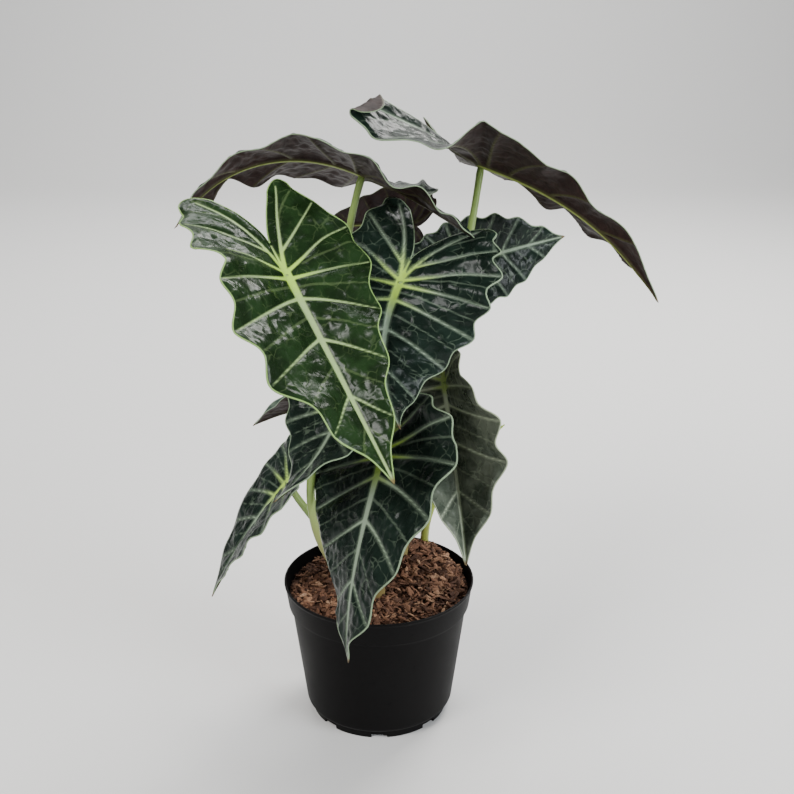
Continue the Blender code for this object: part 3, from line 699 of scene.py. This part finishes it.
def build_blade(name, leaf, face, back, options):
    """Build one finished blade as a thin closed sheet with its relief."""
    size = leaf["length"]
    step = options.grain / MM
    rows_per_span = 2 * max(4, int(round(size * 0.22 / step / 2 * (0.7 if size < 90 else 1.0))))
    columns = max(12, int(round(size * 0.36 / step)))
    template = half_template(rows_per_span, columns)
    rows = template.shape[0]
    meet = 2 * rows_per_span
    bases = []
    normals = []
    fields = []
    seed = sum(ord(letter) for letter in name)
    phase = seed * 0.37
    for half in (0, 1):
        flat = proportion(leaf, template, half)
        flat_mm = (flat * size).reshape(-1, 2)
        place = np.arange(rows)[:, None] / rows_per_span
        share = np.linspace(0, 1, columns + 1)[None, :]
        ends = np.clip(np.minimum(place + 0.35, 7 - place) / 0.6, 0, 1)
        base = roll_end(leaf, in_space(leaf, flat, half), half)
        normal = grid_normals(base, 1.0 if half == 1 else -1.0)
        vein, minor, midrib = (value.reshape(rows, columns + 1) for value in vein_fields(leaf, flat_mm, half))
        rim = np.full(len(flat_mm), 99.0)
        for line in (flat[:, -1] * size, flat[:meet + 1, 0] * size, flat[0] * size):
            rim = np.minimum(rim, gap_to_line(flat_mm, line)[0])
        rim = rim.reshape(rows, columns + 1)
        heart = np.hypot(flat_mm[:, 0], flat_mm[:, 1]).reshape(rows, columns + 1)
        tip = np.hypot(flat_mm[:, 0], flat_mm[:, 1] - size).reshape(rows, columns + 1)
        scale = size / 125.0
        pillow = 1 - np.exp(-np.clip(vein, 0, None) / (3.2 * scale))
        calm = np.clip(rim / 2.5, 0.15, 1)
        broad = lumps(flat_mm + (0, 300 * half), seed, (13.0, 26.0)).reshape(rows, columns + 1)
        small = lumps(flat_mm + (0, 300 * half), seed + 1, (5.0, 9.5), 14).reshape(rows, columns + 1)
        groove = np.exp(-(np.clip(minor + 0.2, 0, None) / 0.9) ** 2)
        lift = pillow * calm * (1.5 + 0.75 * broad + 0.55 * leaf["crinkle"] * small - 0.5 * groove)
        lift = lift - 0.35 * np.exp(-(np.clip(vein, 0, None) / 0.8) ** 2)
        swing = share ** 2.2 * (
            -0.7 * np.cos(2 * np.pi * place)
            + 0.7 * np.sin(1.31 * np.pi * place + phase + half)
            + 0.45 * np.sin(5.3 * place + 2 * phase - half))
        height = leaf["puff"] * lift * options.relief + leaf["wave"] * scale * swing * ends * MM
        rib = 0.95 * MM * scale * np.exp(-(np.clip(midrib + 1.2, 0, None) / 1.4) ** 2)
        rib = rib + 0.45 * MM * scale * np.exp(-(np.clip(vein + 0.5, 0, None) / 0.9) ** 2)
        bases.append((base, height, rib * np.clip(place / 0.5, 0, 1) * np.clip((7 - place) / 0.5, 0, 1)))
        normals.append(normal)
        sign = 1.0 if half == 1 else -1.0
        fields.append(dict(
            vein_gap=vein, minor_gap=minor, midrib_gap=midrib, rim_gap=rim, heart_gap=heart, tip_gap=tip,
            flat_x=sign * flat[..., 0] * size, flat_y=flat[..., 1] * size))
    seam = slice(meet, None)
    shared_normal = normals[0][seam, 0] + normals[1][seam, 0]
    shared_normal /= np.linalg.norm(shared_normal, axis=1, keepdims=True)
    seam_height = 0.5 * (bases[0][1][seam, 0] + bases[1][1][seam, 0])
    numbers = []
    tops = []
    bottoms = []
    kept = {key: [] for key in fields[0]}
    count = 0
    for half in (0, 1):
        base, height, rib = bases[half]
        normals[half][seam, 0] = shared_normal
        height[seam, 0] = seam_height
        index = np.zeros((rows, columns + 1), dtype=int)
        for row in range(rows):
            for column in range(columns + 1):
                if half == 1 and column == 0 and row >= meet:
                    index[row, 0] = numbers[0][row, 0]
                    continue
                if row == rows - 1 and column > 0:
                    index[row, column] = index[row, 0]
                    continue
                index[row, column] = count
                count += 1
                upper = base[row, column] + normals[half][row, column] * height[row, column]
                tops.append(upper)
                bottoms.append(upper - normals[half][row, column] * (options.thickness + rib[row, column]))
                for key in kept:
                    kept[key].append(fields[half][key][row, column])
        if half == 1:
            index[rows - 1, :] = numbers[0][rows - 1, 0]
        numbers.append(index)
    faces = []
    below = []
    for half, index in enumerate(numbers):
        for row in range(rows - 1):
            for column in range(columns):
                loop = [
                    index[row, column], index[row, column + 1],
                    index[row + 1, column + 1], index[row + 1, column]]
                loop = [value for place, value in enumerate(loop) if value != loop[place - 1]]
                if len(loop) < 3:
                    continue
                if half == 0:
                    loop.reverse()
                faces.append(tuple(int(value) for value in loop))
                below.append(tuple(int(value) + count for value in reversed(loop)))
    edges = {}
    for loop in faces:
        for place, value in enumerate(loop):
            edges[(loop[place - 1], value)] = True
    border = [(a, b) for a, b in edges if (b, a) not in edges]
    sides = [(b, a, a + count, b + count) for a, b in border]
    vertices = tops + bottoms
    values = {key: kept[key] * 2 for key in kept}
    indices = [0] * len(faces) + [1] * len(below) + [0] * len(sides)
    return add_piece(f"{name}_blade", vertices, faces + below + sides, [face, back], values, indices)


# --- Stems ---------------------------------------------------------------------------------------

RINGS = {"inner": 8 * MM, "outer": 19 * MM}
SHOOT_RADIUS = 2.8 * MM


def foot_place(leaf):
    """Where a stem leaves the mix."""
    turn = math.radians(leaf["foot"])
    return RINGS[leaf["ring"]] * math.cos(turn), RINGS[leaf["ring"]] * math.sin(turn)


def stem_path(name, leaf, options, steps=44):
    """Points of a stem from below the mix to inside its blade's midrib."""
    x, y = foot_place(leaf)
    low = float(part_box(f"{name}_stem")[0][2])
    level = low + SOCKET_DEPTH
    tangent, _, normal = (value[0] for value in leaf_frames(leaf, np.zeros(1)))
    away = math.radians(leaf["leave"])
    turn = math.radians(leaf["foot"])
    leave = np.array((math.sin(away) * math.cos(turn), math.sin(away) * math.sin(turn), math.cos(away)))
    arrive = normal * 0.8 + np.array((0.0, 0.0, 0.6)) - 0.1 * tangent
    arrive = arrive / np.linalg.norm(arrive)
    start = np.array((x, y, level + 4 * MM))
    end = junction_of(leaf) - normal * options.thickness * 0.6
    span = float(np.linalg.norm(end - start))
    first = start + leave * span * 0.42 + np.array((*leaf["bow"][:2], 0.0)) * MM
    second = end - arrive * span * 0.30 + np.array((*leaf["bow"][2:], 0.0)) * MM
    t = np.linspace(0, 1, steps)[:, None]
    s = 1 - t
    path = s ** 3 * start + 3 * s * s * t * first + 3 * s * t * t * second + t ** 3 * end
    return np.vstack([[(x, y, low + 1 * MM), (x, y, level - 4 * MM)], path])


def band_faces(rings, sides):
    """Faces of a closed tube whose points come ring by ring."""
    faces = []
    for ring in range(rings - 1):
        start = ring * sides
        for side in range(sides):
            after = (side + 1) % sides
            faces.append((start + side, start + after, start + sides + after, start + sides + side))
    faces.append(tuple(reversed(range(sides))))
    faces.append(tuple(range((rings - 1) * sides, rings * sides)))
    return faces


def tube(name, path, radii, material, sides=20):
    """Round tube with closed ends and a running share along it."""
    count = len(path)
    ways = np.gradient(path, axis=0)
    ways /= np.linalg.norm(ways, axis=1, keepdims=True)
    across = np.cross(ways[0], (0.3, 0.95, 0.1))
    vertices = []
    down = []
    for row in range(count):
        across = across - ways[row] * float(np.dot(across, ways[row]))
        across = across / np.linalg.norm(across)
        other = np.cross(ways[row], across)
        for side in range(sides):
            turn = 2 * math.pi * side / sides
            swell = 1 + 0.03 * math.cos(5 * turn)
            spoke = math.cos(turn) * across + math.sin(turn) * other
            vertices.append(path[row] + radii[row] * swell * spoke)
            down.append(row / (count - 1))
    return add_piece(name, vertices, band_faces(count, sides), [material], {"down": down})


# --- Pot and mix ---------------------------------------------------------------------------------

COLLAR_TAPER = 2.4 * MM
COLLAR_STEP = 1.8 * MM
BASE_RADIUS = 47.5 * MM
BASE_EDGE = 4 * MM
FOOT_HEIGHT = 5 * MM
FLOOR = 1.5 * MM
RIM_LIP = 1.2 * MM
OPENINGS = 8
SLOT_HALF = 4.5 * MM
SLOT_REACH = 5 * MM
SLOT_TOP = 2.6 * MM
DRAIN_RADIUS = 3 * MM
DRAIN_CIRCLE = 31 * MM


def body_radius(height, pot):
    """Outer radius of the tapered body."""
    top = RIM_RADIUS - COLLAR_TAPER - COLLAR_STEP
    low = FOOT_HEIGHT + BASE_EDGE
    return BASE_RADIUS + (top - BASE_RADIUS) * (height - low) / (POT_HEIGHT - pot.collar_height - low)


def inner_radius(height, pot):
    """Inner radius of the wall."""
    collar_foot = POT_HEIGHT - pot.collar_height
    if height >= collar_foot:
        share = (height - collar_foot) / pot.collar_height
        return RIM_RADIUS - COLLAR_TAPER * (1 - share) - pot.wall - COLLAR_STEP * (1 - share)
    return body_radius(height, pot) - pot.wall


def pot_profile(pot):
    """Closed outline of wall, floor and foot."""
    collar_foot = POT_HEIGHT - pot.collar_height
    low = FOOT_HEIGHT + BASE_EDGE
    foot = BASE_RADIUS - 3.5 * MM
    points = [(0.0, FOOT_HEIGHT + FLOOR), (BASE_RADIUS - BASE_EDGE - 1 * MM, FOOT_HEIGHT + FLOOR)]
    for turn in (20, 50, 80):
        angle = math.radians(turn)
        points.append((
            body_radius(low, pot) - pot.wall - 2.5 * MM * (1 - math.sin(angle)),
            low + pot.wall + 0.4 * MM - 2.5 * MM * math.cos(angle)))
    points += [
        (inner_radius(collar_foot - 0.5 * MM, pot), collar_foot - 0.5 * MM),
        (inner_radius(collar_foot + 0.5 * MM, pot), collar_foot + 0.5 * MM),
        (inner_radius(POT_HEIGHT, pot), POT_HEIGHT - 0.5 * MM),
        (inner_radius(POT_HEIGHT, pot) + 0.15 * MM, POT_HEIGHT - 0.12 * MM),
        (inner_radius(POT_HEIGHT, pot) + 0.45 * MM, POT_HEIGHT),
        (RIM_RADIUS - 0.45 * MM, POT_HEIGHT),
        (RIM_RADIUS - 0.12 * MM, POT_HEIGHT - 0.12 * MM),
        (RIM_RADIUS, POT_HEIGHT - 0.45 * MM),
        (RIM_RADIUS, POT_HEIGHT - RIM_LIP),
        (RIM_RADIUS - 0.15 * MM, POT_HEIGHT - RIM_LIP - 0.35 * MM),
        (RIM_RADIUS - 0.55 * MM, POT_HEIGHT - RIM_LIP - 0.9 * MM),
        (RIM_RADIUS - 0.72 * MM, POT_HEIGHT - RIM_LIP - 2.0 * MM),
        (RIM_RADIUS - COLLAR_TAPER, collar_foot + 1.0 * MM),
        (RIM_RADIUS - COLLAR_TAPER - 0.18 * MM, collar_foot + 0.35 * MM),
        (RIM_RADIUS - COLLAR_TAPER - 0.7 * MM, collar_foot),
        (body_radius(collar_foot, pot) + 0.5 * MM, collar_foot - 0.1 * MM),
        (body_radius(collar_foot - 0.8 * MM, pot) + 0.08 * MM, collar_foot - 0.7 * MM),
        (body_radius(collar_foot - 2.5 * MM, pot), collar_foot - 2.5 * MM)]
    points += [
        (BASE_RADIUS - BASE_EDGE * (1 - math.cos(math.radians(turn))),
         low - BASE_EDGE * math.sin(math.radians(turn)))
        for turn in (0, 12, 25, 38, 50, 62, 72)]
    points += [
        (foot + 0.5 * MM, FOOT_HEIGHT - 0.2 * MM), (foot + 0.15 * MM, FOOT_HEIGHT - 0.8 * MM),
        (foot, 0.6 * MM), (foot - 0.2 * MM, 0.15 * MM), (foot - 0.6 * MM, 0.0), (foot - 2.4 * MM, 0.0),
        (foot - 2.8 * MM, 0.15 * MM), (foot - 3.0 * MM, 0.6 * MM), (foot - 3.0 * MM, FOOT_HEIGHT),
        (15 * MM, FOOT_HEIGHT), (14.2 * MM, 0.5 * MM), (13.6 * MM, 0.0), (0.0, 0.0)]
    return points


def lathe(name, profile, steps):
    """Turn a closed outline round Z into a mesh object."""
    edges = [(i, i + 1) for i in range(len(profile) - 1)]
    made = plain_mesh(name, [(radius, 0.0, height) for radius, height in profile], edges, [])
    screw = made.modifiers.new("turn", "SCREW")
    screw.steps = steps
    screw.render_steps = steps
    screw.use_merge_vertices = True
    screw.merge_threshold = 0.00002
    screw.use_normal_calculate = True
    return made


def settle(made, sharp_angle=40.0):
    """Apply the modifiers, shade smoothly and keep true corners crisp."""
    bpy.context.view_layer.update()
    graph = bpy.context.evaluated_depsgraph_get()
    data = bpy.data.meshes.new_from_object(made.evaluated_get(graph))
    made.modifiers.clear()
    made.data = data
    shape = bmesh.new()
    shape.from_mesh(data)
    bmesh.ops.remove_doubles(shape, verts=shape.verts, dist=0.000002)
    bmesh.ops.recalc_face_normals(shape, faces=shape.faces)
    limit = math.radians(sharp_angle)
    for face in shape.faces:
        face.smooth = True
    for edge in shape.edges:
        edge.smooth = not (len(edge.link_faces) == 2 and edge.calc_face_angle(0.0) > limit)
    shape.to_mesh(data)
    shape.free()


def cut(target, cutters):
    """Cut shapes out of a target and throw the cutters away."""
    for cutter in cutters:
        boolean = target.modifiers.new("cut", "BOOLEAN")
        boolean.operation = "DIFFERENCE"
        boolean.solver = "EXACT"
        boolean.object = cutter
    settle(target)
    for cutter in cutters:
        bpy.data.objects.remove(cutter, do_unlink=True)


def prism(name, outline, low, high, place, turn):
    """Upright prism of an (x, y) outline."""
    count = len(outline)
    vertices = [(x, y, low) for x, y in outline] + [(x, y, high) for x, y in outline]
    faces = [(i, (i + 1) % count, count + (i + 1) % count, count + i) for i in range(count)]
    faces += [tuple(reversed(range(count))), tuple(range(count, 2 * count))]
    made = plain_mesh(name, vertices, [], faces)
    made.location = (*place, 0.0)
    made.rotation_euler = (0.0, 0.0, turn)
    return made


MIX_DROP = 7 * MM
MIX_GAP = 0.3 * MM
CHIP_SEED = 23
MOUND_HEIGHT = 16 * MM
MOUND_CENTRE = (25 * MM, 20 * MM)
MOUND_SPREAD = 27 * MM


def mix_level(x, y, pot):
    """Height of the mix's surface."""
    reach = math.hypot(x, y)
    full = inner_radius(POT_HEIGHT - MIX_DROP, pot)
    away = math.hypot(x - MOUND_CENTRE[0], y - MOUND_CENTRE[1])
    heap = MOUND_HEIGHT * math.exp(-((away / MOUND_SPREAD) ** 2))
    edge = min(1.0, max(0.0, (full - reach) / (12 * MM)))
    crown = 5 * MM * (1 - (reach / full) ** 2)
    return POT_HEIGHT - MIX_DROP + crown + heap * (0.25 + 0.75 * edge)


def chip_shape(chance, length):
    """Points and faces of one torn chip, lying along X."""
    wide = length * chance.uniform(0.28, 0.6)
    thick = length * chance.uniform(0.12, 0.3)
    sides = 6
    vertices = []
    for end, grow in ((-0.5, 0.55), (-0.15, 1.0), (0.2, 0.95), (0.5, 0.5)):
        lean = chance.uniform(-0.15, 0.15) * wide
        for side in range(sides):
            turn = 2 * math.pi * side / sides
            rough = chance.uniform(0.75, 1.2) * grow
            vertices.append((
                length * (end + chance.uniform(-0.08, 0.08)),
                0.5 * wide * math.cos(turn) * rough + lean,
                0.5 * thick * math.sin(turn) * rough))
    return np.array(vertices), band_faces(4, sides)


def turn_matrix(yaw, pitch, roll):
    """Rotation about Z, then Y, then X, as numpy."""
    cz, cy, cx = (math.cos(angle) for angle in (yaw, pitch, roll))
    sz, sy, sx = (math.sin(angle) for angle in (yaw, pitch, roll))
    about_z = np.array(((cz, -sz, 0), (sz, cz, 0), (0, 0, 1)))
    about_y = np.array(((cy, 0, sy), (0, 1, 0), (-sy, 0, cy)))
    about_x = np.array(((1, 0, 0), (0, cx, -sx), (0, sx, cx)))
    return about_z @ about_y @ about_x


# --- Operators -----------------------------------------------------------------------------------

class ALOCASIA_OT_pot(bpy.types.Operator):
    """Build the nursery pot with its slotted foot and drain holes"""
    bl_idname = "alocasia.pot"
    bl_label = "Nursery pot"

    def execute(self, context):
        pot = settings("alocasia_pot")
        made = lathe("nursery_pot_shell", pot_profile(pot), pot.steps)
        ring = BASE_RADIUS - SLOT_REACH
        slot = [
            (-SLOT_HALF, -SLOT_REACH), (SLOT_HALF, -SLOT_REACH),
            (SLOT_HALF, SLOT_REACH), (-SLOT_HALF, SLOT_REACH)]
        hole = [
            (DRAIN_RADIUS * math.cos(a * math.pi / 12), DRAIN_RADIUS * math.sin(a * math.pi / 12))
            for a in range(24)]
        cutters = []
        for index in range(OPENINGS):
            turn = 2 * math.pi * index / OPENINGS
            place = (ring * math.cos(turn), ring * math.sin(turn))
            cutters.append(prism("slot", slot, -2 * MM, SLOT_TOP, place, turn))
            place = (DRAIN_CIRCLE * math.cos(turn), DRAIN_CIRCLE * math.sin(turn))
            cutters.append(prism("drain", hole, 3 * MM, 8 * MM, place, 0.0))
        cut(made, cutters)
        made.data.materials.clear()
        made.data.materials.append(moulded_plastic(tuple(pot.colour)))
        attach(made, "root")
        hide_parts("nursery_pot")
        return {"FINISHED"}


class ALOCASIA_OT_mix(bpy.types.Operator):
    """Fill the pot with bark mix and strew loose chips over it"""
    bl_idname = "alocasia.mix"
    bl_label = "Bark mix"

    def execute(self, context):
        pot = settings("alocasia_pot")
        mix = settings("alocasia_mix")
        chance = random.Random(CHIP_SEED)
        full = inner_radius(POT_HEIGHT - MIX_DROP, pot) - MIX_GAP
        rings = 60
        steps = 150
        vertices = [(0.0, 0.0, mix_level(0, 0, pot) - 1.5 * MM)]
        for ring in range(1, rings + 1):
            for step in range(steps):
                turn = 2 * math.pi * step / steps
                radius = full * ring / rings
                x = radius * math.cos(turn)
                y = radius * math.sin(turn)
                lump = 0.8 * math.sin(x * 900 + 3 * math.sin(y * 500))
                lump = lump * math.sin(y * 800 + 2 * math.sin(x * 610))
                level = mix_level(x, y, pot) + (lump - 1.5 + chance.uniform(-0.45, 0.45)) * MM
                vertices.append((x, y, level))
        floor = FOOT_HEIGHT + FLOOR + MIX_GAP
        collar_foot = POT_HEIGHT - pot.collar_height
        for radius, height in (
                (inner_radius(collar_foot, pot) - MIX_GAP, collar_foot),
                (BASE_RADIUS - pot.wall - 0.5 * MM, FOOT_HEIGHT + BASE_EDGE + 3 * MM),
                (BASE_RADIUS - BASE_EDGE - 2 * MM, floor)):
            for step in range(steps):
                turn = 2 * math.pi * step / steps
                vertices.append((radius * math.cos(turn), radius * math.sin(turn), height))
        vertices.append((0.0, 0.0, floor))
        faces = [(0, 1 + step, 1 + (step + 1) % steps) for step in range(steps)]
        for ring in range(rings + 2):
            start = 1 + ring * steps
            for step in range(steps):
                after = (step + 1) % steps
                faces.append((start + step, start + steps + step, start + steps + after, start + after))
        last = 1 + (rings + 2) * steps
        faces += [(last + (step + 1) % steps, last + step, len(vertices) - 1) for step in range(steps)]
        bed = add_piece("bark_mix_bed", vertices, faces, [deep_mix(tuple(mix.colour))])
        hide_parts("potting_mix")
        feet = [foot_place(leaf) for leaf in LEAVES.values()]
        points = []
        loops = []
        tones = []
        placed = 0
        while placed < mix.chips:
            radius = (full - 1.2 * MM) * math.sqrt(chance.random())
            turn = chance.uniform(0, 2 * math.pi)
            x = radius * math.cos(turn)
            y = radius * math.sin(turn)
            length = mix.chip_length * min(1.9, max(0.4, chance.lognormvariate(-0.1, 0.38)))
            if any(math.hypot(x - fx, y - fy) < 3.4 * MM for fx, fy in feet):
                continue
            if radius + 0.45 * length > full:
                length = max(1.5 * MM, (full - radius) * 2.0)
            placed += 1
            shape, rows = chip_shape(chance, length)
            tilt = chance.gauss(0, 0.30)
            if chance.random() < 0.12:
                tilt = chance.uniform(0.5, 1.1)
            shape = shape @ turn_matrix(chance.uniform(0, 2 * math.pi), tilt, chance.gauss(0, 0.4)).T
            height = mix_level(x, y, pot) + chance.uniform(-1.6, 0.6) * MM
            shape = shape + np.array((x, y, height))
            start = len(points)
            points.extend(shape)
            tone = chance.random()
            tones.extend([tone] * len(shape))
            loops.extend(tuple(start + value for value in loop) for loop in rows)
        bark = loose_bark(tuple(mix.colour))
        chips = add_piece("bark_chips", points, loops, [bark], {"tone": tones}, smooth=False)
        return {"FINISHED"}


class ALOCASIA_OT_leaves(bpy.types.Operator):
    """Build every blade with its veins and relief"""
    bl_idname = "alocasia.leaves"
    bl_label = "Leaves"

    def execute(self, context):
        options = settings("alocasia_leaves")
        bright = tuple(options.bright)
        dark = tuple(options.dark)
        back = tuple(options.back)
        glossy = dict(
            fray=0.8, feather=0.7, net=0.10, minor=0.13, wash=0.25, heart=22.0, edge=0.75,
            bump=0.32, gloss=0.20, dull=0.16, specular=0.17)
        matt = dict(
            fray=1.8, feather=1.5, net=0.22, minor=0.26, wash=0.36, heart=28.0, edge=0.75,
            bump=0.35, gloss=0.21, dull=0.16, specular=0.12)
        dull = dict(matt, gloss=0.42, wash=0.5, feather=3.0)
        faces = {
            "bright": blade_face(
                "bright_blade_face", bright, tuple(value * 1.9 for value in bright), (0.25, 0.345, 0.145),
                (0.34, 0.54, 0.07), (0.28, 0.44, 0.14), glossy),
            "dark": blade_face(
                "dark_blade_face", dark, tuple(value * 1.7 for value in dark), (0.19, 0.245, 0.175),
                (0.33, 0.50, 0.07), (0.24, 0.32, 0.20), matt),
            # Painted light: this face is a lighter copy of the dark face, with lighter veins, standing in for
            # light on a leaf that sits in shade.
            "painted_lit": blade_face(
                "painted_lit_blade_face", (0.048, 0.060, 0.044), (0.100, 0.115, 0.086),
                (0.38, 0.43, 0.31), (0.32, 0.42, 0.14), (0.40, 0.46, 0.31), dict(matt, heart=12.0)),
            "grey": blade_face(
                "grey_blade_face", (0.030, 0.048, 0.040), (0.045, 0.068, 0.055), (0.17, 0.22, 0.16),
                (0.25, 0.34, 0.12), (0.24, 0.30, 0.22), dull),
        }
        dim = tuple(value * 0.5 for value in back)
        backs = {
            finish: blade_back(f"{finish}_blade_back", *colours)
            for finish, colours in (
                ("bright", ((0.08, 0.14, 0.035), (0.10, 0.13, 0.045), (0.30, 0.46, 0.11))),
                ("dark", (back, dim, (0.20, 0.25, 0.06))), ("painted_lit", (back, dim, (0.20, 0.25, 0.06))),
                ("grey", (back, dim, (0.16, 0.18, 0.06))))}
        for name, leaf in LEAVES.items():
            blade = build_blade(name, leaf, faces[leaf["finish"]], backs[leaf["finish"]], options)
            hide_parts(name)
        return {"FINISHED"}


class ALOCASIA_OT_stems(bpy.types.Operator):
    """Build the leaf stems and the new shoot"""
    bl_idname = "alocasia.stems"
    bl_label = "Stems and shoot"

    def execute(self, context):
        options = settings("alocasia_leaves")
        skin = stem_skin("stem_skin", tuple(options.stem), (0.20, 0.12, 0.05))
        for name, leaf in LEAVES.items():
            path = stem_path(name, leaf, options)
            share = np.linspace(0, 1, len(path))
            radii = options.stem_foot + (options.stem_top - options.stem_foot) * share
            flare = 1 if leaf["ring"] == "outer" else 0.4
            radii = radii + 0.9 * MM * np.exp(-((share - 0.06) / 0.10) ** 2) * flare
            radii[-3:] = radii[-3:] * np.array((1.05, 1.12, 0.9))
            stem = tube(f"{name}_stalk", path, radii, skin)
            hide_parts(f"{name}_stem")
        low, high = (np.array(corner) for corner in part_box("new_shoot"))
        x = float(low[0]) + SHOOT_RADIUS
        y = float(high[1]) - SHOOT_RADIUS
        level = float(low[2]) + SOCKET_DEPTH
        rise = float(high[2]) - level - 0.2 * MM
        t = np.linspace(0, 1, 40)
        lean = t * t
        path = np.stack([x + 50 * MM * lean, y - 4 * MM * lean, level + rise * t], -1)
        path = np.vstack([[(x, y, level - SOCKET_DEPTH + 1 * MM)], path])
        places = (0.0, 0.3, 0.6, 0.75, 0.88, 0.96, 1.0)
        radii = SHOOT_RADIUS * np.interp(t, places, (1.0, 0.85, 0.8, 0.95, 0.7, 0.4, 0.12))
        radii = np.concatenate([[SHOOT_RADIUS], radii])
        tip = stem_skin("shoot_skin", (0.36, 0.50, 0.045), (0.22, 0.24, 0.05))
        shoot = tube("rolled_new_shoot", path, radii, tip)
        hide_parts("new_shoot")
        return {"FINISHED"}


CAMERA_PLACE = (0.0043, -0.6256, POT_HEIGHT + 0.3385)
CAMERA_DOWN = 19.21
CAMERA_TURN = -0.66
LIT_POINT = (0.0, 0.0, 0.22)
WALL_POINT = (0.0, 2.6, 0.3)


class ALOCASIA_OT_stage(bpy.types.Operator):
    """Set the floor, the lights and the camera"""
    bl_idname = "alocasia.stage"
    bl_label = "Stage"

    def execute(self, context):
        stage = settings("alocasia_stage")
        scene = bpy.context.scene
        wide = 5.0
        back = 2.2
        bend = 1.2
        curve = [(-wide, 0.0), (0.0, 0.0), (back, 0.0)]
        curve += [
            (back + bend * math.sin(t * math.pi / 32), bend * (1 - math.cos(t * math.pi / 32)))
            for t in range(1, 17)]
        curve.append((back + bend, wide))
        vertices = [(side * wide, y, z) for y, z in curve for side in (-1, 1)]
        faces = [(2 * i, 2 * i + 1, 2 * i + 3, 2 * i + 2) for i in range(len(curve) - 1)]
        floor = plain_mesh("floor", vertices, [], faces)
        floor.data.polygons.foreach_set("use_smooth", [True] * len(faces))
        plain = Finish("plain_floor")
        floor.data.materials.append(plain.surface(Base_Color=tuple(stage.floor), Roughness=0.75))
        lamps = (
            ("key_light", stage.key, 0.7, (-0.80, -0.95, 1.35), (1.0, 0.985, 0.96)),
            ("fill_light", stage.fill, 0.8, (1.15, -0.85, 0.60), (0.92, 0.96, 1.0)),
            ("back_light", stage.key * 0.9, 0.7, (0.75, 0.95, 1.45), (1.0, 0.98, 0.95)),
            ("wall_light", stage.wall, 1.6, (0.0, 1.3, 2.2), (1.0, 1.0, 1.0)))
        for name, power, size, place, colour in lamps:
            lamp = bpy.data.lights.new(name, "AREA")
            lamp.energy = power
            lamp.size = size
            lamp.color = colour
            made = link_new(name, lamp)
            made.location = place
            target = WALL_POINT if name == "wall_light" else LIT_POINT
            aim = np.array(target) - np.array(place)
            flat = math.hypot(aim[0], aim[1])
            rise = math.atan2(aim[2], flat)
            turn = math.atan2(aim[1], aim[0])
            made.rotation_euler = (math.pi / 2 + rise, 0.0, turn - math.pi / 2)
        world = bpy.data.worlds.new("soft_room")
        world.use_nodes = True
        ground = world.node_tree.nodes["Background"]
        ground.inputs["Color"].default_value = (0.80, 0.82, 0.85, 1.0)
        ground.inputs["Strength"].default_value = 0.22
        scene.world = world
        lens = bpy.data.cameras.new("camera")
        lens.lens = stage.lens
        lens.sensor_width = 36.0
        lens.clip_start = 0.01
        camera = link_new("camera", lens)
        camera.location = CAMERA_PLACE
        camera.rotation_euler = (math.radians(90 - CAMERA_DOWN), 0.0, math.radians(CAMERA_TURN))
        scene.camera = camera
        return {"FINISHED"}


class ALOCASIA_PT_panel(bpy.types.Panel):
    """Lists the makers of the plant's pieces"""
    bl_idname = "ALOCASIA_PT_panel"
    bl_label = "Potted alocasia"
    bl_space_type = "VIEW_3D"
    bl_region_type = "UI"
    bl_category = "Alocasia"

    def draw(self, context):
        for group, keys in GROUPS:
            box = self.layout.box()
            for key in keys:
                box.prop(getattr(context.scene, group), key)
        for operator in OPERATORS:
            self.layout.operator(operator.bl_idname)


OPERATORS = (ALOCASIA_OT_pot, ALOCASIA_OT_mix, ALOCASIA_OT_leaves, ALOCASIA_OT_stems, ALOCASIA_OT_stage)
GROUPS = (
    ("alocasia_pot", ("wall", "collar_height", "steps", "colour")),
    ("alocasia_mix", ("chips", "chip_length", "colour")),
    ("alocasia_leaves", (
        "thickness", "grain", "relief", "stem_foot", "stem_top", "bright", "dark", "back", "stem")),
    ("alocasia_stage", ("floor", "key", "fill", "wall", "lens")))
KINDS = {
    "alocasia_pot": AlocasiaPot, "alocasia_mix": AlocasiaMix,
    "alocasia_leaves": AlocasiaLeaves, "alocasia_stage": AlocasiaStage}


def register():
    """Register the settings, the operators and the panel."""
    for kind in (*KINDS.values(), *OPERATORS, ALOCASIA_PT_panel):
        bpy.utils.register_class(kind)
    for name, kind in KINDS.items():
        setattr(bpy.types.Scene, name, PointerProperty(type=kind))


def unregister():
    """Undo register."""
    for name in KINDS:
        delattr(bpy.types.Scene, name)
    for kind in (ALOCASIA_PT_panel, *reversed(OPERATORS), *reversed(tuple(KINDS.values()))):
        bpy.utils.unregister_class(kind)


def main():
    """Build the plant."""
    register()
    bpy.ops.alocasia.pot()
    bpy.ops.alocasia.mix()
    bpy.ops.alocasia.leaves()
    bpy.ops.alocasia.stems()
    bpy.ops.alocasia.stage()


if __name__ == "__main__":
    main()
